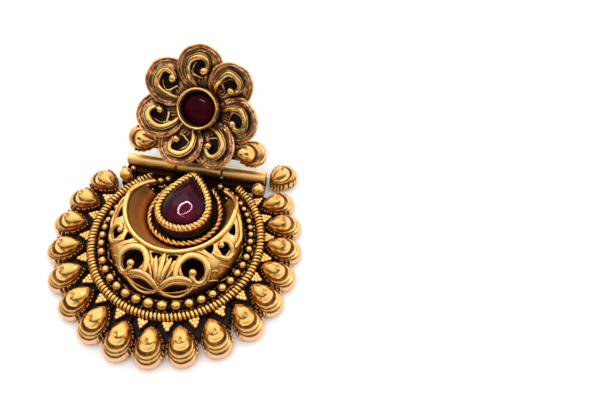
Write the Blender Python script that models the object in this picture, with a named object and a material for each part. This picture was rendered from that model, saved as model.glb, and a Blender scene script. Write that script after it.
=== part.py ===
"""Chandbali earring, lying on its back: a crescent drop hinged under a flower stud.

Metres, +Z up. The drop lies flat on the plane z = 0 and points along -Y. The stud is hinged at the
drop's top, along X, and leans back on the tip of its ear post.
"""

from math import atan2, cos, pi, radians, sin

import bpy
from mathutils import Matrix, Vector

MM = 0.001

# Driving sizes of the drop.
COIL_RADIUS = 13.5 * MM
COIL_THICKNESS = 1.6 * MM
COIL_OPEN_ANGLE = 68
SEAT_GAP = 0.15 * MM
PLATE_THICKNESS = 1.1 * MM

BEAD_ROW_CLEARANCE = 0.12 * MM
BEAD_RADIUS_BOTTOM = 0.74 * MM
BEAD_RADIUS_TOP = 0.46 * MM
BEAD_STRIP_HEIGHT = 0.9 * MM
BEAD_OPEN_ANGLE = 56

RIM_DROP_HEIGHT = 4.3 * MM
RIM_DROP_LENGTH = 6.0 * MM
RIM_DROP_CLEARANCE = 0.15 * MM

CLUSTER_HEIGHT = 1.5 * MM
CLUSTER_RADIUS = 1.0 * MM
CLUSTER_CLEARANCE = 0.08 * MM
END_BALL_RADIUS = 1.1 * MM
END_BALL_CLEARANCE = 1.5 * MM
END_BALL_ANGLES = (-131.5, 135.5)
ARM_WIDTH = 3.0 * MM

RIM_INSET = 1.85 * MM
RIM_CENTRE_SHARE = 0.41
RIM_HEIGHT = 5.6 * MM
HORN_HEIGHT = 3.6 * MM
HORN_ANGLE = 136
GALLERY_ANGLE = 116
RIM_WIRE_RADIUS = 0.42 * MM
GALLERY_WALL = 0.7 * MM
GALLERY_CLEARANCE = 0.35 * MM
GALLERY_SHIFT = 0.27 * MM
TROUGH_FOOT_INSET = 2.15 * MM
TROUGH_FOOT_SHIFT = 0.95 * MM
TROUGH_WALL = 0.45 * MM
TROUGH_ANGLE = 106

PEAR_LENGTH = 9.4 * MM
PEAR_WIDTH = 6.9 * MM
PEAR_X = 0.3 * MM
PEAR_FOOT_Y = 0.9 * MM
PEAR_DOME = 1.6 * MM
PEAR_SEAT_DEPTH = 1.2 * MM
COLLET_WALL = 0.85 * MM
COLLET_HEIGHT = 5.0 * MM
ROPE_LENGTH = 13.4 * MM
ROPE_INSET = 0.95 * MM
ROPE_FOOT_Y = -0.65 * MM
ROPE_RADIUS = 0.45 * MM
ROPE_END_ANGLE = 60

# Driving sizes of the hinge.
HINGE_X = -0.05 * MM
HINGE_DISTANCE = 0.6 * MM
HINGE_HEIGHT = 2.3 * MM
KNUCKLE_RADIUS = 1.0 * MM
BORE_RADIUS = 0.5 * MM
PIN_CLEARANCE = 0.06 * MM
HINGE_LENGTH = 24.5 * MM
HINGE_SHIFT = -0.28 * MM
MIDDLE_KNUCKLE_LENGTH = 7.8 * MM
MIDDLE_KNUCKLE_SHIFT = 0.25 * MM
KNUCKLE_GAP = 0.3 * MM

# Driving sizes of the stud, measured in its own plane from the hinge's axis.
STUD_TILT = 42
STUD_PLATE_THICKNESS = 0.9 * MM
STUD_PLATE_RADIUS = 5.2 * MM
FLOWER_DISTANCE = 10.3 * MM
PETALS = 7
PETAL_RADIUS = 3.9 * MM
PETAL_DISTANCE = 6.6 * MM
PETAL_OFFSET = 0.4 * MM
PETAL_HEIGHT = 4.1 * MM
PETAL_THICKNESS = 0.6 * MM
PETAL_RIM_WIDTH = 0.5 * MM
PETAL_RIM_HEIGHT = 0.35 * MM
PETAL_LIFT = 16
PETAL_ROLL = 12
SCROLL_RADIUS = 0.45 * MM
SCROLL_BALL_RADIUS = 0.6 * MM
HUB_RADIUS = 4.2 * MM
CUP_FLOOR = 0.35 * MM
CUP_RADIUS = 3.5 * MM
CUP_WALL = 0.7 * MM
CUP_HEIGHT = 5.7 * MM
ROUND_STONE_DEPTH = 1.3 * MM
ROUND_STONE_RECESS = 0.9 * MM
SIDE_DROP_X = 9.1 * MM
SIDE_DROP_SHIFT = -0.25 * MM
SIDE_DROP_Y = 4.0 * MM
POST_RADIUS = 0.45 * MM

# One row for each rim drop: its angle in degrees from straight down, positive to the right, the
# distance of its hollow from the centre as a share of the coil's radius, and the turn of its axis.
RIM_DROPS = (
    (-120, 1.31, 0),
    (-105, 1.32, 0),
    (-90, 1.32, 0),
    (-74.5, 1.31, 0),
    (-58.5, 1.31, 0),
    (-42.5, 1.31, 0),
    (-27, 1.32, 0),
    (-12, 1.34, 0),
    (2.5, 1.33, 0),
    (17.5, 1.32, 0),
    (33.5, 1.33, 0),
    (49.5, 1.34, 0),
    (64, 1.31, 0),
    (78.5, 1.29, 0),
    (93.5, 1.28, 0),
    (108, 1.29, 0),
    (122.5, 1.30, 0),
    (136.3, 1.57, 12),
)

# One row for each level of a rim drop, bottom to top: its height as a share of the drop's height,
# its outline as a share of the full one, and its shift to the point as a share of the length.
DROP_LEVELS = (
    (0.00, 0.88, 0.00),
    (0.16, 1.00, 0.00),
    (0.36, 0.95, 0.015),
    (0.50, 0.78, 0.06),
    (0.66, 0.60, 0.17),
    (0.86, 0.48, 0.14),
    (1.00, 0.22, 0.05),
    (0.94, 0.10, 0.033),
)

# A petal's scroll, from its root to the ball in which it ends: across the petal, along it and above
# its dish, as shares of the petal's radius.
SCROLL = (
    (-0.19, -0.78, 0.02),
    (-0.48, -0.28, 0.12),
    (-0.52, 0.14, 0.20),
    (-0.24, 0.45, 0.24),
    (0.07, 0.50, 0.26),
    (0.28, 0.28, 0.28),
    (0.26, 0.03, 0.30),
)
SCROLL_BALL = (0.12, 0.0, 0.30)

# Pierced openings of the gallery's right half, as corners (x, y) counted from the rim's centre in
# shares of the rim's radius. The left half mirrors them.
OPENINGS = {
    "loop": (
        (0.34, -1.28),
        (0.33, -1.14),
        (0.43, -1.03),
        (0.58, -1.02),
        (0.69, -1.10),
        (0.71, -1.25),
        (0.62, -1.37),
        (0.45, -1.38),
    ),
    "inner_triangle": ((0.06, -1.05), (0.24, -1.04), (0.13, -1.18)),
    "outer_triangle": ((0.65, -0.81), (0.74, -0.73), (0.76, -0.87)),
    "side_scroll": ((0.87, -0.72), (0.95, -0.60), (1.04, -0.68), (0.97, -0.84)),
    "upper_triangle": ((0.98, -0.40), (1.03, -0.26), (1.07, -0.42)),
    "almond": ((0.05, -1.60), (0.16, -1.52), (0.30, -1.49), (0.44, -1.49), (0.34, -1.57), (0.18, -1.61)),
}

BRIGHT_GOLD = ("bright_gold", (0.80, 0.53, 0.20), 0.28, 1.0)
AGED_GOLD = ("aged_gold", (0.55, 0.33, 0.11), 0.42, 1.0)
PIN_METAL = ("pin_metal", (0.62, 0.45, 0.28), 0.35, 1.0)
RUBY = ("ruby_glass", (0.20, 0.01, 0.05), 0.08, 0.0)

plate_top = PLATE_THICKNESS
drop_seat = plate_top + SEAT_GAP
bead_ring_radius = COIL_RADIUS - COIL_THICKNESS / 2 - BEAD_ROW_CLEARANCE - BEAD_RADIUS_BOTTOM
gallery_radius = bead_ring_radius - BEAD_RADIUS_BOTTOM - GALLERY_CLEARANCE
hollow_shift = DROP_LEVELS[-1][2] * RIM_DROP_LENGTH
rim_radius = gallery_radius - RIM_INSET
rim_centre_y = gallery_radius * RIM_CENTRE_SHARE
trough_foot_radius = rim_radius - TROUGH_FOOT_INSET
rope_width = 2 * (trough_foot_radius - ROPE_INSET)
hinge_y = COIL_RADIUS + HINGE_DISTANCE
arm_y = hinge_y + KNUCKLE_RADIUS - ARM_WIDTH
hub_height = CUP_HEIGHT - ROUND_STONE_RECESS - ROUND_STONE_DEPTH - CUP_FLOOR - SEAT_GAP
stud_top = STUD_PLATE_THICKNESS / 2


def clear_scene():
    for thing in list(bpy.data.objects):
        bpy.data.objects.remove(thing, do_unlink=True)


def material(finish):
    name, colour, roughness, metallic = finish
    found = bpy.data.materials.get(name)
    if found:
        return found
    made = bpy.data.materials.new(name)
    made.use_nodes = True
    shader = made.node_tree.nodes["Principled BSDF"]
    shader.inputs["Base Color"].default_value = (*colour, 1)
    shader.inputs["Roughness"].default_value = roughness
    shader.inputs["Metallic"].default_value = metallic
    return made


def add(name, solid, finish, parent, place=None):
    points, faces = solid
    mesh = bpy.data.meshes.new(name)
    mesh.from_pydata([tuple(p) for p in points], [], faces)
    mesh.materials.append(material(finish))
    mesh.shade_smooth()
    mesh.set_sharp_from_angle(angle=radians(35))
    thing = bpy.data.objects.new(name, mesh)
    bpy.context.scene.collection.objects.link(thing)
    thing.parent = parent
    thing.matrix_local = place or Matrix()
    return thing


def add_empty(name, place):
    empty = bpy.data.objects.new(name, None)
    bpy.context.scene.collection.objects.link(empty)
    empty.matrix_local = place
    return empty


def loft(loops, closed=False):
    """Points and faces of a solid skinned over loops of equal length, capped unless it is closed."""
    count = len(loops[0])
    points = [point for loop in loops for point in loop]
    faces = []
    for level in range(len(loops) if closed else len(loops) - 1):
        low = level * count
        high = (level + 1) % len(loops) * count
        for i in range(count):
            j = (i + 1) % count
            faces.append((low + i, low + j, high + j, high + i))
    if not closed:
        faces.append(tuple(range(count))[::-1])
        faces.append(tuple(range(len(points) - count, len(points))))
    return points, faces


def joined(solids):
    """Several solids as one list of points and one of faces."""
    points = []
    faces = []
    for more_points, more_faces in solids:
        start = len(points)
        points += more_points
        faces += [tuple(start + i for i in face) for face in more_faces]
    return points, faces


def moved(solid, place):
    points, faces = solid
    return [place @ point for point in points], faces


def combine(target, tool, operation):
    """Adds a Boolean to target with tool, which is then only a hidden helper."""
    step = target.modifiers.new(tool.name, "BOOLEAN")
    step.operation = operation
    step.solver = "EXACT"
    step.object = tool
    tool.hide_render = True
    tool.display_type = "WIRE"


def circle(radius, count, height=0.0):
    turn = 2 * pi / count
    return [Vector((radius * cos(i * turn), radius * sin(i * turn), height)) for i in range(count)]


def turned(profile, count):
    """A solid turned round Z from rows of (radius, height), bottom to top round the outside."""
    return loft([circle(radius, count, height) for radius, height in profile])


def prism(outline, low, high):
    """A straight prism over an outline of (x, y) corners, counter-clockwise."""
    return loft([[Vector((x, y, z)) for x, y in outline] for z in (low, high)])


def box(low, high):
    outline = ((low[0], low[1]), (high[0], low[1]), (high[0], high[1]), (low[0], high[1]))
    return prism(outline, low[2], high[2])


def ball(centre, radius, sides=10, rings=4):
    loops = []
    for level in range(1, rings):
        tilt = pi * level / rings
        loops.append(circle(radius * sin(tilt), sides, -radius * cos(tilt)))
    return moved(loft(loops), Matrix.Translation(centre))


def wire(path, radius, sides=8):
    """A round wire along a path of points, with flat ends."""
    last = len(path) - 1
    side = (path[1] - path[0]).cross(Vector((0, 0, 1))).normalized()
    loops = []
    for i, point in enumerate(path):
        along = (path[min(i + 1, last)] - path[max(i - 1, 0)]).normalized()
        side = (side - along * side.dot(along)).normalized()
        other = along.cross(side)
        turns = [2 * pi * k / sides for k in range(sides)]
        loops.append([point + radius * (side * cos(turn) + other * sin(turn)) for turn in turns])
    return loft(loops)


def rod(start, end, radius, sides=16):
    """A round rod between two points."""
    along = end - start
    place = Matrix.Translation(start) @ along.to_track_quat("Z", "Y").to_matrix().to_4x4()
    return moved(turned(((radius, 0), (radius, along.length)), sides), place)


def on_circle(radius, angle, height=0.0):
    """A point round the coil's centre, its angle counted from straight down to the right."""
    return Vector((radius * sin(angle), -radius * cos(angle), height))


def spread(half, steps):
    return [-half + 2 * half * i / steps for i in range(steps + 1)]


def teardrop(length, width, count, blunt=1.0):
    """A pear outline, counter-clockwise, with its point towards +Y and its middle at the origin."""
    turns = [2 * pi * i / count for i in range(count)]
    across = [sin(turn) * abs(sin(turn / 2)) ** blunt for turn in turns]
    widest = max(across)
    return [
        Vector((-width / 2 * x / widest, length / 2 * cos(turn), 0)) for x, turn in zip(across, turns)
    ]


def grown(outline, amount):
    """The outline moved outwards all round, for a counter-clockwise outline with its tip first."""
    count = len(outline)
    result = [outline[0] + Vector((0, amount, 0))]
    for i in range(1, count):
        along = outline[(i + 1) % count] - outline[i - 1]
        result.append(outline[i] + amount * Vector((along.y, -along.x, 0)).normalized())
    return result


def at(outline, height, scale=1.0, centre=(0.0, 0.0)):
    return [Vector((centre[0] + p.x * scale, centre[1] + p.y * scale, height)) for p in outline]


def rim_drop_width():
    """The width that leaves the clearance between the two nearest neighbours of the row."""
    row = RIM_DROPS[:-1]
    chords = []
    for (angle, share, _), (next_angle, next_share, _) in zip(row, row[1:]):
        radius = (share + next_share) / 2 * COIL_RADIUS + hollow_shift
        chords.append(2 * radius * sin(radians(next_angle - angle) / 2))
    return min(chords) - RIM_DROP_CLEARANCE


def rim_drop_solid():
    """A tiered teardrop with its point towards +Y, its hollow over the origin and its foot at z = 0."""
    outline = teardrop(RIM_DROP_LENGTH, rim_drop_width(), 12, 0.55)
    loops = []
    for height, scale, shift in DROP_LEVELS:
        middle = (0, shift * RIM_DROP_LENGTH - hollow_shift)
        loops.append(at(outline, height * RIM_DROP_HEIGHT, scale, middle))
    return loft(loops)


def make_rim_drops(drop):
    for number, (angle, share, turn) in enumerate(RIM_DROPS, 1):
        place = Matrix.Translation(on_circle(share * COIL_RADIUS, radians(angle)))
        place = place @ Matrix.Rotation(radians(angle + turn), 4, "Z")
        add(f"rim_drop_{number:02d}", rim_drop_solid(), BRIGHT_GOLD, drop, place)


def plate_radius():
    """The plate ends just short of the rim drops' points."""
    nearest = min(share for _, share, _ in RIM_DROPS) * COIL_RADIUS
    return nearest - RIM_DROP_LENGTH / 2 + hollow_shift - RIM_DROP_CLEARANCE


def make_coil_ring(drop):
    height = drop_seat + COIL_THICKNESS / 2
    half = pi - radians(COIL_OPEN_ANGLE) / 2
    path = [on_circle(COIL_RADIUS, angle, height) for angle in spread(half, 46)]
    add("coil_ring", wire(path, COIL_THICKNESS / 2, 8), AGED_GOLD, drop)


def bead_places():
    """Angles and radii of the graduated balls, largest at the bottom."""
    half = pi - radians(BEAD_OPEN_ANGLE) / 2
    row = [(0.0, BEAD_RADIUS_BOTTOM)]
    while row[-1][0] < half:
        angle, radius = row[-1]
        angle += 2.9 * radius / bead_ring_radius
        share = min(1.0, 1.4 * angle / half)
        row.append((angle, BEAD_RADIUS_BOTTOM + (BEAD_RADIUS_TOP - BEAD_RADIUS_BOTTOM) * share))
    return [(-angle, radius) for angle, radius in row[:0:-1]] + row


def make_bead_row(drop):
    row = bead_places()
    top = drop_seat + BEAD_STRIP_HEIGHT
    half_width = BEAD_RADIUS_TOP * 0.8
    sections = []
    for angle in spread(row[-1][0], 48):
        inner = bead_ring_radius - half_width
        outer = bead_ring_radius + half_width
        corners = ((inner, drop_seat), (inner, top), (outer, top), (outer, drop_seat))
        sections.append([on_circle(radius, angle, height) for radius, height in corners])
    balls = [ball(on_circle(bead_ring_radius, angle, top + radius * 0.5), radius) for angle, radius in row]
    strip = add("bead_row", loft(sections), BRIGHT_GOLD, drop)
    combine(strip, add("bead_row_balls", joined(balls), BRIGHT_GOLD, drop), "UNION")


def rim_point(angle, radius=rim_radius, inset=0.0):
    """A point on the rim, a circle below that is flatter and lower above, towards its horns."""
    rise = max(0.0, -cos(angle))
    radius = radius - inset
    y = rim_centre_y - radius * cos(angle) * (1 - 0.36 * rise**0.5)
    return Vector((radius * sin(angle), y, RIM_HEIGHT + (HORN_HEIGHT - RIM_HEIGHT) * rise))


def dome_point(angle, share, inside=False):
    """A point on the gallery's wall from its rim (share 0) to its foot (share 1)."""
    rim = rim_point(angle, inset=RIM_WIRE_RADIUS * 0.8 if inside else 0.0)
    outwards = rim_point(angle)
    wall = GALLERY_WALL if inside else 0.0
    foot = on_circle(gallery_radius - wall, atan2(outwards.x, GALLERY_SHIFT - outwards.y), drop_seat)
    foot.y += GALLERY_SHIFT
    point = rim.lerp(foot, share)
    point.z = foot.z + (rim.z - wall - foot.z) * (1 - share**3) ** 0.5
    return point


def make_gallery(drop):
    shares = (0.0, 0.3, 0.6, 0.85, 1.0)
    sections = []
    for angle in spread(radians(GALLERY_ANGLE), 40):
        outside = [dome_point(angle, share) for share in shares]
        inside = [dome_point(angle, share, True) for share in shares]
        sections.append(outside + inside[::-1])
    gallery = add("gallery", loft(sections), BRIGHT_GOLD, drop)
    cuts = []
    for outline in OPENINGS.values():
        for side in (1, -1):
            corners = [(side * x * rim_radius, rim_centre_y + y * rim_radius) for x, y in outline]
            cuts.append(prism(corners[::-side], plate_top, RIM_HEIGHT + rim_radius))
    combine(gallery, add("gallery_cuts", joined(cuts), BRIGHT_GOLD, drop), "DIFFERENCE")
    lift = Vector((0, 0, RIM_WIRE_RADIUS / 3))
    angles = spread(radians(HORN_ANGLE), 43)
    rim = wire([rim_point(angle, inset=RIM_WIRE_RADIUS / 4) + lift for angle in angles], RIM_WIRE_RADIUS, 6)
    combine(gallery, add("gallery_rim", rim, BRIGHT_GOLD, drop), "UNION")


def make_trough(drop):
    """The smooth wall that slopes from the rim's inside down to the plate round the stone."""
    sections = []
    for angle in spread(radians(TROUGH_ANGLE), 36):
        upper_outer = rim_point(angle, inset=RIM_WIRE_RADIUS + SEAT_GAP)
        upper_outer.z -= RIM_WIRE_RADIUS / 2
        upper_inner = rim_point(angle, inset=RIM_WIRE_RADIUS + SEAT_GAP + TROUGH_WALL)
        upper_inner.z = upper_outer.z
        lower_inner = rim_point(angle, trough_foot_radius)
        lower_outer = rim_point(angle, trough_foot_radius, -TROUGH_WALL)
        lower_inner.y += TROUGH_FOOT_SHIFT
        lower_outer.y += TROUGH_FOOT_SHIFT
        lower_inner.z = lower_outer.z = drop_seat
        sections.append([lower_outer, lower_inner, upper_inner, upper_outer])
    add("trough", loft(sections), AGED_GOLD, drop)


def pear_place():
    return Matrix.Translation((PEAR_X, PEAR_FOOT_Y + PEAR_LENGTH / 2, 0))


def make_pear(drop):
    """The stone and the collet that holds it in a pocket."""
    outline = teardrop(PEAR_LENGTH, PEAR_WIDTH, 26)
    pocket = grown(outline, SEAT_GAP)
    wall = grown(outline, COLLET_WALL)
    floor = COLLET_HEIGHT - PEAR_SEAT_DEPTH
    collet = loft(
        [
            at(wall, drop_seat),
            at(wall, COLLET_HEIGHT - ROPE_RADIUS),
            at(grown(outline, COLLET_WALL / 2), COLLET_HEIGHT),
            at(pocket, COLLET_HEIGHT - ROPE_RADIUS),
            at(pocket, floor),
        ]
    )
    add("pear_bezel", collet, AGED_GOLD, drop, pear_place())
    girdle = COLLET_HEIGHT - ROPE_RADIUS / 2
    levels = ((0.0, 1.0), (0.35, 0.95), (0.68, 0.78), (0.9, 0.5), (1.0, 0.2))
    loops = [at(outline, floor + SEAT_GAP)]
    loops += [at(outline, girdle + PEAR_DOME * rise, scale) for rise, scale in levels]
    add("pear_stone", loft(loops), RUBY, drop, pear_place())


def make_bezel_rope(drop):
    """The second rope, a U open above, laid round the collet on the plate."""
    count = 48
    outline = teardrop(ROPE_LENGTH, rope_width, count, 0.45)
    skip = round(count * ROPE_END_ANGLE / 360)
    path = at(outline[skip : count - skip + 1], drop_seat + ROPE_RADIUS)
    place = Matrix.Translation((0, ROPE_FOOT_Y + ROPE_LENGTH / 2, 0))
    add("bezel_rope", wire(path, ROPE_RADIUS, 6), AGED_GOLD, drop, place)


def knuckle(start, end):
    """A knuckle of the hinge along X, as its outside and its bore."""
    low = Vector((start, 0, 0))
    high = Vector((end, 0, 0))
    past = Vector((KNUCKLE_GAP / 2, 0, 0))
    return rod(low, high, KNUCKLE_RADIUS), rod(low - past, high + past, BORE_RADIUS)


def make_drop_plate(drop):
    """Plate, granule triangles, end balls and outer knuckles, soldered into one piece."""
    radius = plate_radius()
    plate = add("drop_plate", turned(((radius, 0), (radius, PLATE_THICKNESS)), 64), AGED_GOLD, drop)
    seat = HINGE_HEIGHT - KNUCKLE_RADIUS * 0.7
    clusters = []
    inner_side = COIL_RADIUS + COIL_THICKNESS / 2 + CLUSTER_CLEARANCE
    foot = max(0.0, inner_side - radius) + CLUSTER_RADIUS / 3
    for (angle, _, _), (next_angle, _, _) in zip(RIM_DROPS[:-1], RIM_DROPS[1:-1]):
        middle = radians(angle + next_angle) / 2
        corners = [on_circle(CLUSTER_RADIUS, middle + turn) for turn in (0, 2 * pi / 3, 4 * pi / 3)]
        rows = ((0, PLATE_THICKNESS / 2, plate_top + CLUSTER_HEIGHT), (foot, PLATE_THICKNESS / 4, plate_top))
        for inwards, low, high in rows:
            centre = on_circle(inner_side + CLUSTER_RADIUS / 2 - inwards, middle)
            outline = [(centre.x + p.x, centre.y + p.y) for p in corners]
            clusters.append(prism(outline, low, high))
    for number, solid in enumerate(clusters):
        combine(plate, add(f"plate_cluster_{number}", solid, AGED_GOLD, drop), "UNION")
    arms = []
    tabs = []
    outsides = []
    bores = []
    balls = []
    lift = Matrix.Translation((HINGE_X, hinge_y, HINGE_HEIGHT))
    for side, angle in zip((-1, 1), END_BALL_ANGLES):
        near = MIDDLE_KNUCKLE_SHIFT + side * (MIDDLE_KNUCKLE_LENGTH / 2 + KNUCKLE_GAP)
        far = HINGE_SHIFT + side * HINGE_LENGTH / 2
        low, high = sorted((near, far))
        arms.append(box((HINGE_X + low, arm_y, 0), (HINGE_X + high, hinge_y + KNUCKLE_RADIUS, seat)))
        outside, bore = knuckle(low, high)
        outsides.append(moved(outside, lift))
        bores.append(moved(bore, lift))
        half = END_BALL_RADIUS * 0.8
        spot = on_circle(COIL_RADIUS + COIL_THICKNESS / 2 + END_BALL_CLEARANCE, radians(angle))
        low = (spot.x - half, spot.y - half, 0)
        tabs.append(box(low, (spot.x + half, arm_y + KNUCKLE_RADIUS, plate_top)))
        place = Matrix.Translation((spot.x, spot.y, PLATE_THICKNESS / 2))
        balls.append(moved(turned(((half * 0.9, 0), (half * 0.9, seat)), 12), place))
        centre = (spot.x, spot.y, seat + END_BALL_RADIUS)
        balls.append(ball(centre, END_BALL_RADIUS, 12, 8))
    for kind, solids in (("arms", arms), ("tabs", tabs), ("knuckles", outsides)):
        combine(plate, add(f"plate_{kind}", joined(solids), AGED_GOLD, drop), "UNION")
    for number, solid in enumerate(balls):
        combine(plate, add(f"plate_ball_{number}", solid, AGED_GOLD, drop), "UNION")
    combine(plate, add("plate_bores", joined(bores), AGED_GOLD, drop), "DIFFERENCE")


def make_hinge_pin(drop):
    half = Vector((HINGE_LENGTH / 2, 0, 0))
    axis = Vector((HINGE_X + HINGE_SHIFT, hinge_y, HINGE_HEIGHT))
    add("hinge_pin", rod(axis - half, axis + half, BORE_RADIUS - PIN_CLEARANCE), PIN_METAL, drop)


def make_stud_plate(stud):
    """Plate behind the flower, arms behind the side drops and the middle knuckle, one piece."""
    disc = turned(((STUD_PLATE_RADIUS, -stud_top), (STUD_PLATE_RADIUS, stud_top)), 40)
    place = Matrix.Translation((0, FLOWER_DISTANCE, 0))
    plate = add("stud_plate", moved(disc, place), AGED_GOLD, stud)
    half = SIDE_DROP_X + RIM_DROP_LENGTH / 4
    width = rim_drop_width() * 0.35
    low = (SIDE_DROP_SHIFT - half, SIDE_DROP_Y - width, -stud_top)
    high = (SIDE_DROP_SHIFT + half, SIDE_DROP_Y + width, stud_top)
    arms = box(low, high)
    combine(plate, add("stud_arms", arms, AGED_GOLD, stud), "UNION")
    left = MIDDLE_KNUCKLE_SHIFT - MIDDLE_KNUCKLE_LENGTH / 2
    right = MIDDLE_KNUCKLE_SHIFT + MIDDLE_KNUCKLE_LENGTH / 2
    neck = box((left, 0, -stud_top), (right, FLOWER_DISTANCE - STUD_PLATE_RADIUS / 2, stud_top))
    combine(plate, add("stud_neck", neck, AGED_GOLD, stud), "UNION")
    outside, bore = knuckle(left, right)
    combine(plate, add("middle_knuckle", outside, AGED_GOLD, stud), "UNION")
    combine(plate, add("middle_bore", bore, AGED_GOLD, stud), "DIFFERENCE")


def petal_place(number):
    """A petal's own frame: its dish's centre, point outwards along Y, lifted and rolled."""
    turn = Matrix.Rotation(2 * pi * number / PETALS, 4, "Z")
    centre = Matrix.Translation((-PETAL_OFFSET, PETAL_DISTANCE, PETAL_HEIGHT))
    lift = Matrix.Rotation(radians(PETAL_LIFT), 4, "X")
    roll = Matrix.Rotation(radians(PETAL_ROLL), 4, "Y")
    return turn @ centre @ lift @ roll


def petal_solids():
    """A dish with a raised rim, and the scroll on it with its ball."""
    inner = PETAL_RADIUS - PETAL_RIM_WIDTH
    dish = turned(
        (
            (PETAL_RADIUS * 0.92, -PETAL_THICKNESS),
            (PETAL_RADIUS, PETAL_RIM_HEIGHT / 2),
            (PETAL_RADIUS - PETAL_RIM_WIDTH / 2, PETAL_RIM_HEIGHT),
            (inner, 0),
        ),
        16,
    )
    path = [PETAL_RADIUS * Vector(row) for row in SCROLL]
    centre = PETAL_RADIUS * Vector(SCROLL_BALL)
    return dish, wire(path, SCROLL_RADIUS, 5), ball(centre, SCROLL_BALL_RADIUS, 8, 6)


def make_flower(stud):
    place = Matrix.Translation((0, FLOWER_DISTANCE, 0))
    base = stud_top + SEAT_GAP
    hub = turned(((HUB_RADIUS * 0.9, base), (HUB_RADIUS, hub_height)), 28)
    flower = add("flower", hub, BRIGHT_GOLD, stud, place)
    for number in range(PETALS):
        dish, scroll, end = (moved(solid, petal_place(number)) for solid in petal_solids())
        for kind, solid in (("dish", dish), ("scroll", scroll), ("scroll_ball", end)):
            helper = add(f"{kind}_{number}", solid, BRIGHT_GOLD, stud, place)
            combine(flower, helper, "UNION")
    hole = turned(((CUP_RADIUS + SEAT_GAP, hub_height), (CUP_RADIUS + SEAT_GAP, 2 * CUP_HEIGHT)), 28)
    combine(flower, add("flower_hole", hole, BRIGHT_GOLD, stud, place), "DIFFERENCE")


def make_cup_and_stone(stud):
    place = Matrix.Translation((0, FLOWER_DISTANCE, 0))
    bore = CUP_RADIUS - CUP_WALL
    floor = CUP_HEIGHT - ROUND_STONE_RECESS - ROUND_STONE_DEPTH
    cup = (
        (CUP_RADIUS, hub_height + SEAT_GAP),
        (CUP_RADIUS, CUP_HEIGHT - CUP_WALL / 3),
        (CUP_RADIUS - CUP_WALL / 3, CUP_HEIGHT),
        (bore + CUP_WALL / 4, CUP_HEIGHT),
        (bore, CUP_HEIGHT - CUP_WALL / 3),
        (bore, floor),
    )
    add("flower_bezel", turned(cup, 28), AGED_GOLD, stud, place)
    radius = bore - SEAT_GAP
    top = CUP_HEIGHT - ROUND_STONE_RECESS
    dome = ROUND_STONE_DEPTH / 2
    stone = (
        (radius, floor + SEAT_GAP),
        (radius, top - dome),
        (radius * 0.92, top - dome * 0.45),
        (radius * 0.7, top - dome * 0.12),
        (radius * 0.35, top),
    )
    add("round_stone", turned(stone, 28), RUBY, stud, place)


def make_side_drops(stud):
    for name, side in (("side_drop_left", -1), ("side_drop_right", 1)):
        place = Matrix.Translation((side * SIDE_DROP_X + SIDE_DROP_SHIFT, SIDE_DROP_Y, stud_top + SEAT_GAP))
        place = place @ Matrix.Rotation(side * pi / 2, 4, "Z")
        add(name, rim_drop_solid(), BRIGHT_GOLD, stud, place)


def make_ear_post(stud):
    """A straight post whose tip rests on the plane that the drop lies on."""
    tilt = radians(STUD_TILT)
    low_side = FLOWER_DISTANCE - POST_RADIUS
    reach = (HINGE_HEIGHT + low_side * sin(tilt)) / cos(tilt)
    start = Vector((0, FLOWER_DISTANCE, -reach))
    end = Vector((0, FLOWER_DISTANCE, -stud_top - SEAT_GAP))
    add("ear_post", rod(start, end, POST_RADIUS, 12), PIN_METAL, stud)


def build():
    clear_scene()
    drop = add_empty("drop", Matrix())
    axis = Matrix.Translation((HINGE_X, hinge_y, HINGE_HEIGHT))
    stud = add_empty("stud", axis @ Matrix.Rotation(radians(STUD_TILT), 4, "X"))
    make_drop_plate(drop)
    make_coil_ring(drop)
    make_bead_row(drop)
    make_gallery(drop)
    make_trough(drop)
    make_pear(drop)
    make_bezel_rope(drop)
    make_rim_drops(drop)
    make_hinge_pin(drop)
    make_stud_plate(stud)
    make_flower(stud)
    make_cup_and_stone(stud)
    make_side_drops(stud)
    make_ear_post(stud)


build()
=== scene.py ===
from math import atan2, cos, hypot, pi, radians, sin, sqrt
from random import Random

import bpy
from mathutils import Euler, Matrix, Vector, noise


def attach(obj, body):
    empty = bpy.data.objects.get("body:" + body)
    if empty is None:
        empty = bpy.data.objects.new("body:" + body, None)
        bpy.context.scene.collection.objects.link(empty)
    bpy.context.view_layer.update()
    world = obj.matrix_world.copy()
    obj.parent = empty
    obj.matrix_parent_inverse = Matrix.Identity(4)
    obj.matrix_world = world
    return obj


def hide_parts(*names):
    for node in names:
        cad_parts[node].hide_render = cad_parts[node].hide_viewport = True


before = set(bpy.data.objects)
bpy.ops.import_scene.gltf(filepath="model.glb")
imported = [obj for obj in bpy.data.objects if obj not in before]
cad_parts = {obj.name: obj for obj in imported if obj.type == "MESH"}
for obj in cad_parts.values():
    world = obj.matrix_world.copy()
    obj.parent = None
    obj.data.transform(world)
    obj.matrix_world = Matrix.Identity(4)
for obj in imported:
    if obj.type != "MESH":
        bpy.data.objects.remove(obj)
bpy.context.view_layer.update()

# All sizes below are in millimetres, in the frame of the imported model, and become metres when a
# mesh is made. The drop lies on z = 0 and points along -Y, the stud leans back over its hinge.

millimetre = 0.001


# Helpers for shapes. A shape is a dictionary of points, faces and, for each point, how much it is
# darkened, by patina and in places by painted shade, and how much painted pale sheen it carries.

def shapeOf(points, faces, patina=0.0, blush=0.0):
    count = len(points)
    patina = patina if isinstance(patina, list) else [patina] * count
    blush = blush if isinstance(blush, list) else [blush] * count
    return {"points": points, "faces": faces, "patina": patina, "blush": blush}


def perLoop(value, loops):
    if not isinstance(value, (list, tuple)):
        return value
    return [share for share, loop in zip(value, loops) for _ in loop]


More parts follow.
